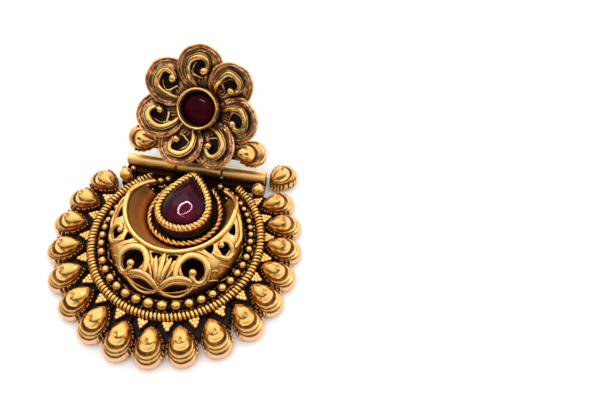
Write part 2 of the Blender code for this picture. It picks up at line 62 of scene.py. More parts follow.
# A surface over loops of equal length, closed at both ends unless they are left open.
def skin(loops, closed=False, capped=True, patina=0.0, blush=0.0):
    count = len(loops[0])
    points = [point for loop in loops for point in loop]
    faces = []
    for level in range(len(loops) if closed else len(loops) - 1):
        low = level * count
        high = (level + 1) % len(loops) * count
        for i in range(count):
            j = (i + 1) % count
            faces.append((low + i, low + j, high + j, high + i))
    if capped and not closed:
        faces.append(tuple(range(count))[::-1])
        faces.append(tuple(range(len(points) - count, len(points))))
    return shapeOf(points, faces, perLoop(patina, loops), perLoop(blush, loops))


# Several shapes as one.
def gather(shapes):
    points = []
    faces = []
    patina = []
    blush = []
    for shape in shapes:
        start = len(points)
        points.extend(shape["points"])
        faces.extend(tuple(start + i for i in face) for face in shape["faces"])
        patina.extend(shape["patina"])
        blush.extend(shape["blush"])
    return shapeOf(points, faces, patina, blush)


def placed(shape, place):
    points = [place @ point for point in shape["points"]]
    return shapeOf(points, shape["faces"], shape["patina"], shape["blush"])


def circle(radius, count, height=0.0):
    turn = 2 * pi / count
    return [Vector((radius * cos(i * turn), radius * sin(i * turn), height)) for i in range(count)]


# A shape turned round Z from rows of radius and height, bottom to top round the outside.
def turned(profile, count, patina=0.0, capped=True):
    return skin([circle(radius, count, height) for radius, height in profile], patina=patina, capped=capped)


def ball(centre, radius, sides=16, rings=10, patina=0.0, squash=1.0):
    loops = []
    marks = []
    for level in range(rings + 1):
        tilt = pi * level / rings
        loops.append(circle(radius * max(sin(tilt), 0.02), sides, -radius * squash * cos(tilt)))
        # Darker towards the bottom of the ball, none on its top half.
        low = max(0.0, 0.35 + 0.65 * cos(tilt))
        marks.append(patina * low)
    return placed(skin(loops, patina=marks), Matrix.Translation(centre))


# A section carried along a path. A section is rows of (across, up); up follows the normals.
def sweep(path, sections, normals=None, patina=0.0, closed=False):
    last = len(path) - 1
    many = isinstance(sections[0][0], (tuple, list))
    loops = []
    up = None
    for i, point in enumerate(path):
        before = path[i - 1] if i or closed else path[0]
        after = path[(i + 1) % len(path)] if i < last or closed else path[last]
        along = (after - before).normalized()
        if normals:
            up = normals[i]
        elif up is None:
            up = Vector((0, 0, 1)) if abs(along.z) < 0.9 else Vector((0, 1, 0))
        across = up.cross(along).normalized()
        up = along.cross(across)
        section = sections[i] if many else sections
        loops.append([point + across * a + up * u for a, u in section])
    if isinstance(patina, (list, tuple)):
        made = skin(loops, closed)
        made["patina"] = list(patina) * len(loops)
        return made
    return skin(loops, closed, patina=patina)


def roundSection(radius, sides, flat=1.0):
    turns = [2 * pi * k / sides for k in range(sides)]
    return [(radius * cos(turn), radius * flat * sin(turn)) for turn in turns]


# A round or flattened wire with rounded ends; the radius may change along it.
def tube(path, radius, sides=10, normals=None, flat=1.0, patina=0.0, closed=False):
    radii = list(radius) if isinstance(radius, (list, tuple)) else [radius] * len(path)
    path = list(path)
    normals = list(normals) if normals else None
    if not closed:
        for end in (0, -1):
            tip = path[end]
            out = (tip - path[1 if end == 0 else -2]).normalized()
            size = radii[end]
            more = [(tip + out * size * sin(tilt), size * max(cos(tilt), 0.05)) for tilt in (0.5, 1.0, 1.5)]
            if end == 0:
                path = [p for p, _ in more[::-1]] + path
                radii = [r for _, r in more[::-1]] + radii
            else:
                path = path + [p for p, _ in more]
                radii = radii + [r for _, r in more]
            if normals:
                normals = [normals[0]] * 3 + normals if end == 0 else normals + [normals[-1]] * 3
    sections = [roundSection(size, sides, flat) for size in radii]
    return sweep(path, sections, normals, patina, closed)


# A curve through the corners, with some steps for each of them.
def smoothPath(corners, steps=6, closed=False):
    corners = [Vector(corner) for corner in corners]
    count = len(corners)
    result = []
    for i in range(count if closed else count - 1):
        if closed:
            a, b, c, d = (corners[(i + k) % count] for k in (-1, 0, 1, 2))
        else:
            a = corners[max(i - 1, 0)]
            b = corners[i]
            c = corners[i + 1]
            d = corners[min(i + 2, count - 1)]
        for step in range(steps):
            t = step / steps
            bend = (2 * a - 5 * b + 4 * c - d) * t * t
            result.append(0.5 * (2 * b + (c - a) * t + bend + (3 * b - a - 3 * c + d) * t**3))
    if not closed:
        result.append(corners[-1])
    return result


# Strands twisted round each other along a path that lies flat.
def twistedRope(path, strandRadius, pitch, sides=8, strands=2, closed=False):
    length = 0.0
    lengths = [0.0]
    for a, b in zip(path, path[1:]):
        length += (b - a).length
        lengths.append(length)
    if closed:
        whole = length + (path[0] - path[-1]).length
        pitch = whole / round(whole / pitch)
    shapes = []
    last = len(path) - 1
    for strand in range(strands):
        line = []
        for i, point in enumerate(path):
            before = path[i - 1] if i or closed else path[0]
            after = path[(i + 1) % len(path)] if i < last or closed else path[last]
            along = (after - before).normalized()
            across = Vector((0, 0, 1)).cross(along).normalized()
            up = along.cross(across)
            turn = 2 * pi * (lengths[i] / pitch + strand / strands)
            line.append(point + strandRadius * 0.82 * (across * cos(turn) + up * sin(turn)))
        shapes.append(tube(line, strandRadius, sides, closed=closed))
    return gather(shapes)


# A point round the coil's centre, its angle counted from straight down to the right.
def onCircle(radius, angle, height=0.0):
    return Vector((radius * sin(angle), -radius * cos(angle), height))


def spread(half, steps):
    return [-half + 2 * half * i / steps for i in range(steps + 1)]


# A pear outline, counter-clockwise, with its point towards +Y and its middle at the origin.
def teardrop(length, width, count, blunt=1.0):
    turns = [2 * pi * i / count for i in range(count)]
    across = [sin(turn) * abs(sin(turn / 2)) ** blunt for turn in turns]
    widest = max(sin(pi * i / 200) * sin(pi * i / 400) ** blunt for i in range(200))
    return [Vector((-width / 2 * x / widest, length / 2 * cos(turn), 0)) for x, turn in zip(across, turns)]


# The outline moved outwards all round, for a counter-clockwise outline with its tip first.
def grown(outline, amount):
    count = len(outline)
    result = [outline[0] + Vector((0, amount, 0))]
    for i in range(1, count):
        along = outline[(i + 1) % count] - outline[i - 1]
        result.append(outline[i] + amount * Vector((along.y, -along.x, 0)).normalized())
    return result


def at(outline, height, scale=1.0, centre=(0.0, 0.0)):
    return [Vector((centre[0] + p.x * scale, centre[1] + p.y * scale, height)) for p in outline]


# Helpers for pieces.

def meshOf(name, shape, smoothAngle=40):
    mesh = bpy.data.meshes.new(name)
    mesh.from_pydata([tuple(point * millimetre) for point in shape["points"]], [], shape["faces"])
    for mark in ("patina", "blush"):
        layer = mesh.attributes.new(mark, "FLOAT", "POINT")
        layer.data.foreach_set("value", shape[mark])
    mesh.shade_smooth()
    mesh.set_sharp_from_angle(angle=radians(smoothAngle))
    return mesh


# One object in the scene, from a shape or from a mesh that several pieces share.
def makePiece(name, shape, finish, body, slot, nodes=(), place=None, smoothAngle=40):
    mesh = meshOf(name, shape, smoothAngle) if isinstance(shape, dict) else shape
    if not mesh.materials:
        mesh.materials.append(finish)
    piece = bpy.data.objects.new(name, mesh)
    bpy.context.scene.collection.objects.link(piece)
    if place:
        piece.matrix_world = place
    bpy.context.view_layer.update()
    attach(piece, body)
    if slot == "ruby_glass":
        stones.objects.link(piece)
    if name == "pearCabochon":
        pearOnly.objects.link(piece)
    if nodes:
        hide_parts(*nodes)
    return piece


# A placing in millimetres as one in metres.
def inMetres(place):
    result = place.copy()
    result.translation = place.translation * millimetre
    return result


# The mesh with every cutter taken out of it.
def cutThrough(mesh, cutters):
    target = bpy.data.objects.new("cutTarget", mesh)
    tool = bpy.data.objects.new("cutTool", meshOf("cutTool", cutters))
    for thing in (target, tool):
        bpy.context.scene.collection.objects.link(thing)
    step = target.modifiers.new("cut", "BOOLEAN")
    step.operation = "DIFFERENCE"
    step.solver = "EXACT"
    step.object = tool
    graph = bpy.context.evaluated_depsgraph_get()
    result = bpy.data.meshes.new_from_object(target.evaluated_get(graph))
    for thing in (target, tool):
        bpy.data.objects.remove(thing, do_unlink=True)
    return result


# Camera and light.

view = {
    "location": (23.23, -40.18, 79.50),
    "angles": (32.43, -2.24, 8.70),
    "lens": 32.53,
}
light = {
    "sky": 1.3, "front": 0.09, "backdrop": 0.95, "upAndBack": (0.0, 0.65, 0.76),
}
# Soft panels: where each stands, what it faces, its size and how bright its face is.
panels = {
    "keyLight": ((-60, 90, 150), (0, 5, 0), (90, 60), 1.9),
    "frontCard": ((-30, -140, 110), (0, 0, 5), (150, 36), 0.7),
    "sideLight": ((130, 30, 90), (0, 0, 0), (50, 80), 1.2),
}
floorPanel = ((0, 0, 220), (0, 0, 0), (420, 420), 0.6)
glintStrip = ((-17, -38, 150), (0, 10, 8), (34, 8), 42)
ringLamp = {
    "middle": (-18.5, 35.5, 161), "target": (0, 4, 6), "parts": 20, "width": 7, "overlap": 1.05,
    "strength": 120, "across": 36, "lean": 10, "along": 50, "uneven": 0.13, "unevenTurn": 0.9,
}
stones = bpy.data.collections.new("stones")
pearOnly = bpy.data.collections.new("pearOnly")


def makeCamera():
    data = bpy.data.cameras.new("camera")
    data.lens = view["lens"]
    data.sensor_width = 36
    data.clip_start = 0.001
    camera = bpy.data.objects.new("camera", data)
    camera.location = Vector(view["location"]) * millimetre
    camera.rotation_euler = Euler([radians(angle) for angle in view["angles"]])
    bpy.context.scene.collection.objects.link(camera)
    bpy.context.scene.camera = camera


# An sRGB colour such as f5d27a as the linear one that shaders use.
def linear(hexColour, alpha=1.0):
    shares = [int(hexColour[i : i + 2], 16) / 255 for i in (0, 2, 4)]
    linearShares = [s / 12.92 if s <= 0.04045 else ((s + 0.055) / 1.055) ** 2.4 for s in shares]
    return (*linearShares, alpha)


def addNode(tree, kind, inputs=None, **settings):
    node = tree.nodes.new(kind)
    for key, value in settings.items():
        setattr(node, key, value)
    for key, value in (inputs or {}).items():
        if isinstance(value, bpy.types.NodeSocket):
            tree.links.new(value, node.inputs[key])
        else:
            node.inputs[key].default_value = value
    return node


# Colour stops as rows of place and colour.
def setRamp(node, rows):
    stops = node.color_ramp.elements
    while len(stops) < len(rows):
        stops.new(0.5)
    for stop, (place, colour) in zip(stops, rows):
        stop.position = place
        stop.color = colour


def grey(value):
    return (value, value, value, 1)


# An area light whose surface has the brightness that is given, whatever its size.
def softLight(name, location, target, size, strength, noGloss=False, only=None, along=None):
    data = bpy.data.lights.new(name, "AREA")
    data.shape = "RECTANGLE"
    data.size = size[0] * millimetre
    data.size_y = size[1] * millimetre
    data.energy = strength * pi * data.size * data.size_y
    lamp = bpy.data.objects.new(name, data)
    lamp.location = Vector(location) * millimetre
    aim = Vector(target) - Vector(location)
    if along:
        back = -aim.normalized()
        side = (along - back * along.dot(back)).normalized()
        lamp.rotation_euler = Matrix((side, back.cross(side), back)).transposed().to_euler()
    else:
        lamp.rotation_euler = aim.to_track_quat("-Z", "Y").to_euler()
    bpy.context.scene.collection.objects.link(lamp)
    if noGloss:
        lamp.visible_glossy = False
    if only:
        lamp.light_linking.receiver_collection = only
        lamp.visible_diffuse = False


def makeLights():
    world = bpy.data.worlds.new("studio")
    bpy.context.scene.world = world
    world.use_nodes = True
    tree = world.node_tree
    tree.nodes.clear()
    direction = addNode(tree, "ShaderNodeTexCoord").outputs["Generated"]
    towards = addNode(
        tree, "ShaderNodeVectorMath", {0: direction, 1: light["upAndBack"]}, operation="DOT_PRODUCT"
    ).outputs["Value"]
    ramp = addNode(tree, "ShaderNodeValToRGB", {"Fac": towards})
    setRamp(
        ramp,
        (
            (0.0, grey(light["front"])),
            (0.04, grey(light["front"] * 3)),
            (0.16, grey(light["sky"] * 0.6)),
            (0.5, grey(light["sky"] * 0.8)),
            (0.9, grey(light["sky"])),
        ),
    )
    # Beyond the paper's edge the camera sees plain pale backdrop, whatever the metal reflects.
    seen = addNode(tree, "ShaderNodeLightPath").outputs["Is Camera Ray"]
    backdrop = addNode(
        tree, "ShaderNodeMix", {"Factor": seen, "A": ramp.outputs["Color"], "B": grey(light["backdrop"])},
        data_type="RGBA",
    )
    shade = addNode(tree, "ShaderNodeBackground", {"Color": backdrop.outputs["Result"], "Strength": 1.0})
    addNode(tree, "ShaderNodeOutputWorld", {"Surface": shade.outputs["Background"]})
    for name, panel in panels.items():
        softLight(name, *panel)
    makeRingLamp()
    softLight("glintStrip", *glintStrip, only=stones)
    softLight("floorLight", *floorPanel, noGloss=True)


def makeRingLamp():
    # A ring over the camera shows as a bright loop on the pear stone. It is so strong that it would
    # wash out the metal, so it lights that stone alone. The glint strip lights only the two stones.
    middle = Vector(ringLamp["middle"])
    loop = []
    for part in range(ringLamp["parts"]):
        turn = 2 * pi * part / ringLamp["parts"]
        size = 1 + ringLamp["uneven"] * cos(3 * turn - ringLamp["unevenTurn"])
        across = ringLamp["across"] * cos(turn) + ringLamp["lean"] * sin(turn)
        loop.append(middle + size * Vector((across, ringLamp["along"] * sin(turn), 0)))
    for part, spot in enumerate(loop):
        after = loop[(part + 1) % len(loop)]
        along = after - spot
        size = (along.length * ringLamp["overlap"], ringLamp["width"])
        centre = spot.lerp(after, 0.5)
        lamp = (f"ringLamp{part}", centre, ringLamp["target"], size, ringLamp["strength"])
        softLight(*lamp, only=pearOnly, along=along)


def makeFloor():
    material = bpy.data.materials.new("mattWhitePaper")
    material.use_nodes = True
    tree = material.node_tree
    shader = tree.nodes["Principled BSDF"]
    spots = addNode(tree, "ShaderNodeTexNoise", {"Scale": 90.0, "Detail": 3.0})
    ramp = addNode(tree, "ShaderNodeValToRGB", {"Fac": spots.outputs["Fac"]})
    setRamp(ramp, ((0.0, linear("f3f3f1")), (1.0, linear("f8f8f6"))))
    tree.links.new(ramp.outputs["Color"], shader.inputs["Base Color"])
    shader.inputs["Roughness"].default_value = 0.9
    shader.inputs["Specular IOR Level"].default_value = 0.1
    half = 600
    corners = [Vector((x, y, 0)) for x, y in ((-half, -half), (half, -half), (half, half), (-half, half))]
    floor = bpy.data.objects.new("paperFloor", meshOf("paperFloor", shapeOf(corners, [(0, 1, 2, 3)])))
    floor.data.materials.append(material)
    bpy.context.scene.collection.objects.link(floor)


# Materials.

def newMaterial(name):
    material = bpy.data.materials.new(name)
    material.use_nodes = True
    tree = material.node_tree
    shader = tree.nodes["Principled BSDF"]
    place = addNode(tree, "ShaderNodeTexCoord").outputs["Object"]
    ownNumber = addNode(tree, "ShaderNodeObjectInfo").outputs["Random"]
    spin = addNode(tree, "ShaderNodeMath", {0: ownNumber, 1: 37.0}, operation="MULTIPLY")
    scaled = addNode(tree, "ShaderNodeVectorMath", {0: place, "Scale": 1000.0}, operation="SCALE")
    moved = addNode(tree, "ShaderNodeVectorMath", {0: scaled.outputs[0], 1: spin.outputs[0]}, operation="ADD")
    return material, tree, shader, moved.outputs[0]


# Cast and plated gold: patina in the hollows, rubbed bright on the high spots.
def antiqueGold(name, look):
    material, tree, shader, place = newMaterial(name)
    blotch = addNode(tree, "ShaderNodeTexNoise", {"Vector": place, "Scale": look["blotch"], "Detail": 4.0})
    grain = addNode(tree, "ShaderNodeTexNoise", {"Vector": place, "Scale": look["grain"], "Detail": 3.0})
    hollow = addNode(tree, "ShaderNodeAmbientOcclusion", {"Distance": look["reach"] * millimetre}, samples=6)
    # Each point's own mark darkens it further: patina, and in places painted shade. A mark below zero paints
    # a highlight.
    marked = addNode(tree, "ShaderNodeAttribute", attribute_name="patina")
    sheenPaint = addNode(tree, "ShaderNodeAttribute", attribute_name="blush")
    uneven = addNode(
        tree, "ShaderNodeMapRange", {"Value": blotch.outputs["Fac"], "From Min": 0.3, "From Max": 0.7,
        "To Min": -look["uneven"], "To Max": look["uneven"]}
    )
    openness = addNode(
        tree, "ShaderNodeMath", {0: hollow.outputs["AO"], 1: uneven.outputs[0]}, operation="ADD"
    )
    rubbed = addNode(
        tree, "ShaderNodeMath", {0: openness.outputs[0], 1: marked.outputs["Fac"]},
        operation="SUBTRACT", use_clamp=True,
    )
    colour = addNode(tree, "ShaderNodeValToRGB", {"Fac": rubbed.outputs[0]})
    setRamp(
        colour,
        (
            (look["from"], linear(look["dark"])),
            (look["from"] + (look["to"] - look["from"]) * 0.45, linear(look["mid"])),
            (look["to"], linear(look["bright"])),
        ),
    )
    # The pale sheen mixed in here is a painted reflection, in the share each point carries.
    sheenPainted = addNode(
        tree, "ShaderNodeMix",
        {"Factor": sheenPaint.outputs["Fac"], "A": colour.outputs["Color"], "B": linear(look["sheenPaint"])},
        data_type="RGBA",
    )
    tree.links.new(sheenPainted.outputs["Result"], shader.inputs["Base Color"])
    polish = addNode(
        tree, "ShaderNodeMapRange",
        {"Value": rubbed.outputs[0], "From Min": look["from"], "From Max": look["to"],
         "To Min": look["roughDark"], "To Max": look["roughBright"]},
    )
    rough = addNode(
        tree, "ShaderNodeMath", {0: grain.outputs["Fac"], 1: look["roughGrain"], 2: polish.outputs[0]},
        operation="MULTIPLY_ADD",
    )
    tree.links.new(rough.outputs[0], shader.inputs["Roughness"])
    metal = addNode(
        tree, "ShaderNodeMapRange",
        {"Value": rubbed.outputs[0], "From Min": look["from"], "From Max": look["to"] * 0.6,
         "To Min": look["patinaMetal"], "To Max": 1.0},
    )
    tree.links.new(metal.outputs[0], shader.inputs["Metallic"])
    dents = addNode(
        tree, "ShaderNodeTexVoronoi", {"Vector": place, "Scale": look["dents"], "Smoothness": 1.0},
        feature="SMOOTH_F1",
    )
    height = addNode(
        tree, "ShaderNodeMath", {0: dents.outputs["Distance"], 1: look["dentDepth"], 2: grain.outputs["Fac"]},
        operation="MULTIPLY_ADD",
    )
    bump = addNode(
        tree, "ShaderNodeBump", {"Height": height.outputs[0], "Strength": look["bump"],
        "Distance": look["bumpDepth"] * millimetre}
    )
    tree.links.new(bump.outputs["Normal"], shader.inputs["Normal"])
    return material


castLook = {
    "bright": "fbc877", "mid": "bd742a", "dark": "160802", "sheenPaint": "f4b98c",
    "from": 0.2, "to": 0.7, "reach": 1.3, "uneven": 0.12,
    "blotch": 0.9, "grain": 7.0, "dents": 2.2, "dentDepth": 1.5,
    "roughDark": 0.55, "roughBright": 0.16, "roughGrain": 0.18, "patinaMetal": 0.45,
    "bump": 0.5, "bumpDepth": 0.02,
}
# Gold-plated castings, rubbed on top so that the patina stays in the hollows: gives the bright
# crests and near-black roots that the whole piece is drawn with.
castGold = antiqueGold("castGoldRubbedPatina", castLook)
# The same plating polished to a mirror on the rim drops' domes, which show soft broad highlights.
domeGold = antiqueGold(
    "polishedGoldPlating",
    {**castLook, "bright": "f9c473", "mid": "bf782c", "dark": "38180a", "roughBright": 0.13, "bump": 0.4,
     "dents": 1.3, "uneven": 0.13, "to": 0.6},
)
# Plating left near-black, patina from the bath and painted shade in one: the ground behind the beads, the
# rope and the drops, where shade falls between and under the parts.
shadedGroundGold = antiqueGold(
    "bathDarkenedShadedPlate",
    {**castLook, "bright": "40220c", "mid": "1c0d05", "dark": "090402", "roughBright": 0.45, "bump": 0.9},
)
# Brown satin of the funnel round the stone, brushed by hand after the bath.
funnelGold = antiqueGold(
    "satinBrownFunnel",
    {**castLook, "bright": "fcc078", "mid": "dc984e", "dark": "6a3816", "roughBright": 0.38, "reach": 1.6,
     "from": 0.02, "to": 0.42, "dents": 5.0, "bump": 0.35, "uneven": 0.1},
)
# Drawn wire, wound and twisted: bright along the top of each turn and black where turns meet.
wireGold = antiqueGold(
    "drawnGoldWire",
    {**castLook, "bright": "fccb74", "mid": "b9722a", "dark": "100703", "from": 0.3, "to": 0.7, "reach": 0.7,
     "dentDepth": 0.3, "bump": 0.3},
)
# Tube stock of the hinge, brushed lengthwise: smooth, with one long highlight.
tubeGold = antiqueGold(
    "brushedGoldTube",
    {**castLook, "bright": "ffd484", "mid": "d89044", "dark": "1e0e05", "reach": 1.6, "to": 0.5,
     "dentDepth": 0.2, "roughBright": 0.3, "bump": 0.35},
)
# Petal dishes: purple-brown with black ticks from the hammer, only their rims rubbed bright.
petalGold = antiqueGold(
    "hammeredBrownPetal",
    {**castLook, "bright": "fdc78e", "mid": "985a30", "dark": "150805", "dents": 1.7, "dentDepth": 4.0,
     "bump": 1.0, "bumpDepth": 0.06, "roughBright": 0.2, "uneven": 0.36, "blotch": 1.0, "to": 0.6},
)
# Plain drawn brass of the pin and the post.
pinBrass = antiqueGold(
    "drawnBrassPin",
    {**castLook, "bright": "d8b070", "mid": "94683a", "dark": "2b1a0c", "dentDepth": 0.1, "bump": 0.3},
)


# Polished glass, foiled behind, its light painted into its colour: dark at the girdle, a painted shade,
# and a red glow where light crosses it, a painted glow lighter where the stone faces the view.
def rubyGlass(name, look):
    material, tree, shader, place = newMaterial(name)
    facing = addNode(tree, "ShaderNodeLayerWeight", {"Blend": 0.35})
    cloud = addNode(tree, "ShaderNodeTexNoise", {"Vector": place, "Scale": look["cloud"], "Detail": 2.0})
    mixed = addNode(
        tree, "ShaderNodeMath", {0: cloud.outputs["Fac"], 1: 0.55, 2: facing.outputs["Facing"]},
        operation="MULTIPLY_ADD",
    )
    colour = addNode(tree, "ShaderNodeValToRGB", {"Fac": mixed.outputs[0]})
    # From painted glow where the stone faces the view to painted shade at its edge.
    setRamp(colour, ((0.1, linear(look["paintedGlow"])), (0.45, linear(look["body"])), (0.9, linear(look["edge"]))))
    tree.links.new(colour.outputs["Color"], shader.inputs["Base Color"])
    shader.inputs["Roughness"].default_value = 0.05
    shader.inputs["Specular IOR Level"].default_value = 0.5
    shader.inputs["Specular Tint"].default_value = linear(look["shine"])
    return material


# Pear cabochon: purplish ruby glass, fire polished.
pearGlass = rubyGlass(
    "rubyGlassFirePolished",
    {"paintedGlow": "64122c", "body": "2c0614", "edge": "120207", "shine": "80646c", "cloud": 0.6},
)
# Round cabochon: darker red glass, sunk in its cup.
roundGlass = rubyGlass(
    "garnetGlassPolished",
    {"paintedGlow": "40060f", "body": "260309", "edge": "0c0103", "shine": "60484e", "cloud": 0.5},
)

makeCamera()
makeLights()
makeFloor()
print("camera, light, floor and finishes are made")


# The back plate with what is soldered to it.

plate = {
    "radius": 14.3, "thickness": 1.1, "edge": 0.25,
    "seat": 1.25, "armLow": 12.1, "armHigh": 15.1, "armHeight": 1.6,
    "clusterRadius": 1.0, "clusterReach": 14.88, "grainRadius": 0.3,
    "endBallReach": 15.8, "endBallAngles": (-131.5, 135.5), "endBallRadius": 1.1,
}
hinge = {
    "x": -0.05, "y": 14.1, "z": 2.3, "radius": 1.06, "bore": 0.5, "pin": 0.44,
    "length": 24.5, "shift": -0.28, "middle": 7.8, "middleShift": 0.25, "gap": 0.3, "bevel": 0.12,
}
coil = {
    "radius": 13.5, "height": 2.05, "openAngle": 68, "core": 0.55, "coreWire": 0.42, "wire": 0.245,
    "turns": 114, "steps": 14,
}
beads = {
    "ring": 11.84, "large": 0.82, "small": 0.5, "openAngle": 56, "stripTop": 2.15, "grains": 330,
}
rimDrop = {"length": 5.84, "width": 4.45, "shift": 0.12, "ribWidth": 0.24, "ribHeight": 0.72}
rimDropRows = (
    (-120, 1.31, 0), (-105, 1.32, 0), (-90, 1.32, 0), (-74.5, 1.31, 0), (-58.5, 1.31, 0), (-42.5, 1.31, 0),
    (-27, 1.32, 0), (-12, 1.34, 0), (2.5, 1.33, 0), (17.5, 1.32, 0), (33.5, 1.33, 0), (49.5, 1.34, 0),
    (64, 1.31, 0), (78.5, 1.29, 0), (93.5, 1.28, 0), (108, 1.29, 0), (122.5, 1.30, 0), (136.3, 1.57, 12),
)
chance = Random(7)
noise.seed_set(7)  # unseeded it starts from the clock, and every run would dent the metal another way


# The shape with its points pushed about by noise, as cast or filed metal is.
def roughened(shape, amount, scale):
    points = []
    for point in shape["points"]:
        push = noise.noise_vector(point * scale)
        points.append(point + push * amount)
    return shapeOf(points, shape["faces"], shape["patina"], shape["blush"])


# A flat bar with rounded long edges, from one corner in plan to the other.
def rail(low, high, bottom, top, edge=0.2):
    across = (high[1] - low[1]) / 2
    middle = (high[1] + low[1]) / 2
    corner = []
    for turn in range(0, 91, 30):
        corner.append((edge * (1 - cos(radians(turn))), edge * (1 - sin(radians(turn)))))
    outline = []
    for a, b in corner:
        outline.append((-across + a, top - b))
    for a, b in corner[::-1]:
        outline.append((across - a, top - b))
    outline.append((across, bottom))
    outline.append((-across, bottom))
    steps = 24
    xs = [low[0] + (high[0] - low[0]) * i / steps for i in range(steps + 1)]
    return skin([[Vector((x, middle + a, z)) for a, z in outline[::-1]] for x in xs])


# Where the two outer knuckles start and end along X.
def outerKnuckleEnds():
    reach = hinge["middle"] / 2 + hinge["gap"]
    middle = hinge["x"] + hinge["middleShift"]
    whole = hinge["x"] + hinge["shift"]
    far = hinge["length"] / 2
    return (whole - far, middle - reach), (middle + reach, whole + far)


def makeBackPlate():
    size = plate["radius"]
    edge = plate["edge"]
    top = plate["thickness"]
    profile = [(size * share, 0.0) for share in (0.02, 0.3, 0.6, 0.85)]
    profile += [(size - edge, 0.0), (size, edge), (size, top - edge), (size - edge, top)]
    profile += [(size * share, top) for share in (0.9, 0.8, 0.7, 0.6, 0.5, 0.4, 0.3, 0.2, 0.1, 0.02)]
    disc = turned(profile, 120)
    shapes = [disc]
    for side, (start, end) in zip((-1, 1), outerKnuckleEnds()):
        shapes.append(rail((start, plate["armLow"]), (end, plate["armHigh"]), 0, plate["armHeight"]))
    for angle in plate["endBallAngles"]:
        spot = onCircle(plate["endBallReach"], radians(angle))
        half = plate["endBallRadius"] * 0.8
        shapes.append(rail((spot.x - half, spot.y - half), (spot.x + half, plate["armLow"] + 1), 0, 1.1))
    makePiece("backPlate", gather(shapes), shadedGroundGold, "drop", "aged_gold", ("drop_plate",))


# A length of tube along X, bored, with bevelled ends.
def tubeStock(start, end):
    radius = hinge["radius"]
    bevel = hinge["bevel"]
    rows = [(hinge["bore"], start), (radius - bevel, start), (radius, start + bevel)]
    rows += [(radius, start + (end - start) * i / 12) for i in range(1, 12)]
    rows += [(radius, end - bevel), (radius - bevel, end), (hinge["bore"], end)]
    loops = []
    for size, x in rows:
        turns = [2 * pi * k / 40 for k in range(40)]
        loops.append([Vector((x, size * cos(turn), size * sin(turn))) for turn in turns])
    return skin(loops, closed=True)


def makeHinge():
    lift = Matrix.Translation((0, hinge["y"], hinge["z"]))
    left, right = outerKnuckleEnds()
    knuckles = gather([placed(tubeStock(*left), lift), placed(tubeStock(*right), lift)])
    makePiece("outerKnuckles", knuckles, tubeGold, "drop", "aged_gold")
    half = hinge["length"] / 2 - 0.15
    middle = hinge["x"] + hinge["shift"]
    pinPath = [Vector((middle + x, hinge["y"], hinge["z"])) for x in spread(half, 20)]
    pin = tube(pinPath, hinge["pin"], 16)
    makePiece("hingePin", pin, pinBrass, "drop", "pin_metal", ("hinge_pin",))


def makeEndBalls():
    shapes = []
    radius = plate["endBallRadius"]
    for angle in plate["endBallAngles"]:
        spot = onCircle(plate["endBallReach"], radians(angle))
        shapes.append(ball(Vector((spot.x, spot.y, 1.6 + radius)), radius, 28, 18, 0.5))
        collar = turned(((0.75, 0.5), (0.78, 1.3), (0.95, 1.6), (0.8, 1.85), (0.5, 2.0)), 24, 0.3)
        shapes.append(placed(collar, Matrix.Translation(spot)))
    for x, y, size in ((-11.3, 12.4, 0.45), (-13.1, 12.3, 0.36), (11.7, 12.4, 0.36), (10.2, 12.2, 0.3)):
        shapes.append(roughened(ball(Vector((x, y, 1.5 + size)), size, 14, 9, 0.4), 0.05, 1.4))
    makePiece("endBalls", gather(shapes), castGold, "drop", "aged_gold")


webHalf = ((1.95, 0.9), (1.85, -0.3), (1.4, -0.9), (0.75, -1.6), (0.32, -2.1), (0.15, -2.6))
webCorners = [(-1, half, y) for half, y in webHalf] + [(1, half, y) for half, y in webHalf[::-1]]


# Grain clusters soldered between the rim drops, filed flat on top.
def makeGranules():
    shapes = []
    for (angle, _, _), (nextAngle, _, _) in zip(rimDropRows, rimDropRows[1:]):
        middle = radians(angle + nextAngle) / 2
        place = Matrix.Translation(onCircle(plate["clusterReach"], middle)) @ Matrix.Rotation(middle, 4, "Z")
        web = []
        for height, share in ((0.1, 1.0), (0.6, 1.0), (0.95, 0.9), (1.1, 0.6)):
            corners = [(sign * half * share, y) for sign, half, y in webCorners]
            web.append([Vector((x, y, height)) for x, y in corners])
        shapes.append(placed(roughened(skin(web, patina=0.75), 0.09, 1.1), place))
        size = plate["clusterRadius"]
        block = []
        for height, scale in ((0.6, 0.9), (1.7, 0.98), (2.12, 0.88), (2.2, 0.4)):
            reach = size * scale
            corners = [Vector((reach * sin(t), -reach * cos(t), height)) for t in (0, 2.094, 4.189)]
            loop = []
            for a, b in zip(corners, corners[1:] + corners[:1]):
                loop += [a.lerp(b, i / 4) for i in range(4)]
            block.append(loop)
        shapes.append(placed(roughened(skin(block, patina=[0.6, 0.4, 0.1, 0.0]), 0.06, 1.7), place))
        for row, count in enumerate((3, 2, 1)):
            for i in range(count):
                x = (i - (count - 1) / 2) * 0.52
                y = 0.42 - row * 0.47
                radius = plate["grainRadius"] * (0.85 + 0.25 * chance.random())
                centre = Vector((x + 0.05 * chance.uniform(-1, 1), y, 2.05 + 0.12 * chance.random()))
                grainShape = ball(centre, radius * 1.15, 12, 8, 0.1, 0.5)
                shapes.append(placed(roughened(grainShape, 0.04, 2.2), place))
    makePiece("granuleClusters", gather(shapes), castGold, "drop", "aged_gold")


makeBackPlate()
makeHinge()
makeEndBalls()
makeGranules()
print("back plate, hinge and granules are made")


# The wound ring: one long wire laid round a core, turn against turn.

def makeCoil():
    half = pi - radians(coil["openAngle"]) / 2
    count = coil["turns"] * coil["steps"]
    path = []
    for i in range(count + 1):
        angle = -half + 2 * half * i / count
        turn = -2 * pi * i / coil["steps"]
        reach = coil["radius"] + coil["core"] * cos(turn)
        path.append(onCircle(reach, angle, coil["height"] + coil["core"] * sin(turn)))
    wound = tube(path, coil["wire"], 8)
    middle = [onCircle(coil["radius"], angle, coil["height"]) for angle in spread(half, 120)]
    core = tube(middle, coil["coreWire"], 10, patina=0.8)
    makePiece("woundCoil", gather([wound, core]), wireGold, "drop", "aged_gold", ("coil_ring",))


# The row of graduated balls and the small grains soldered round them.

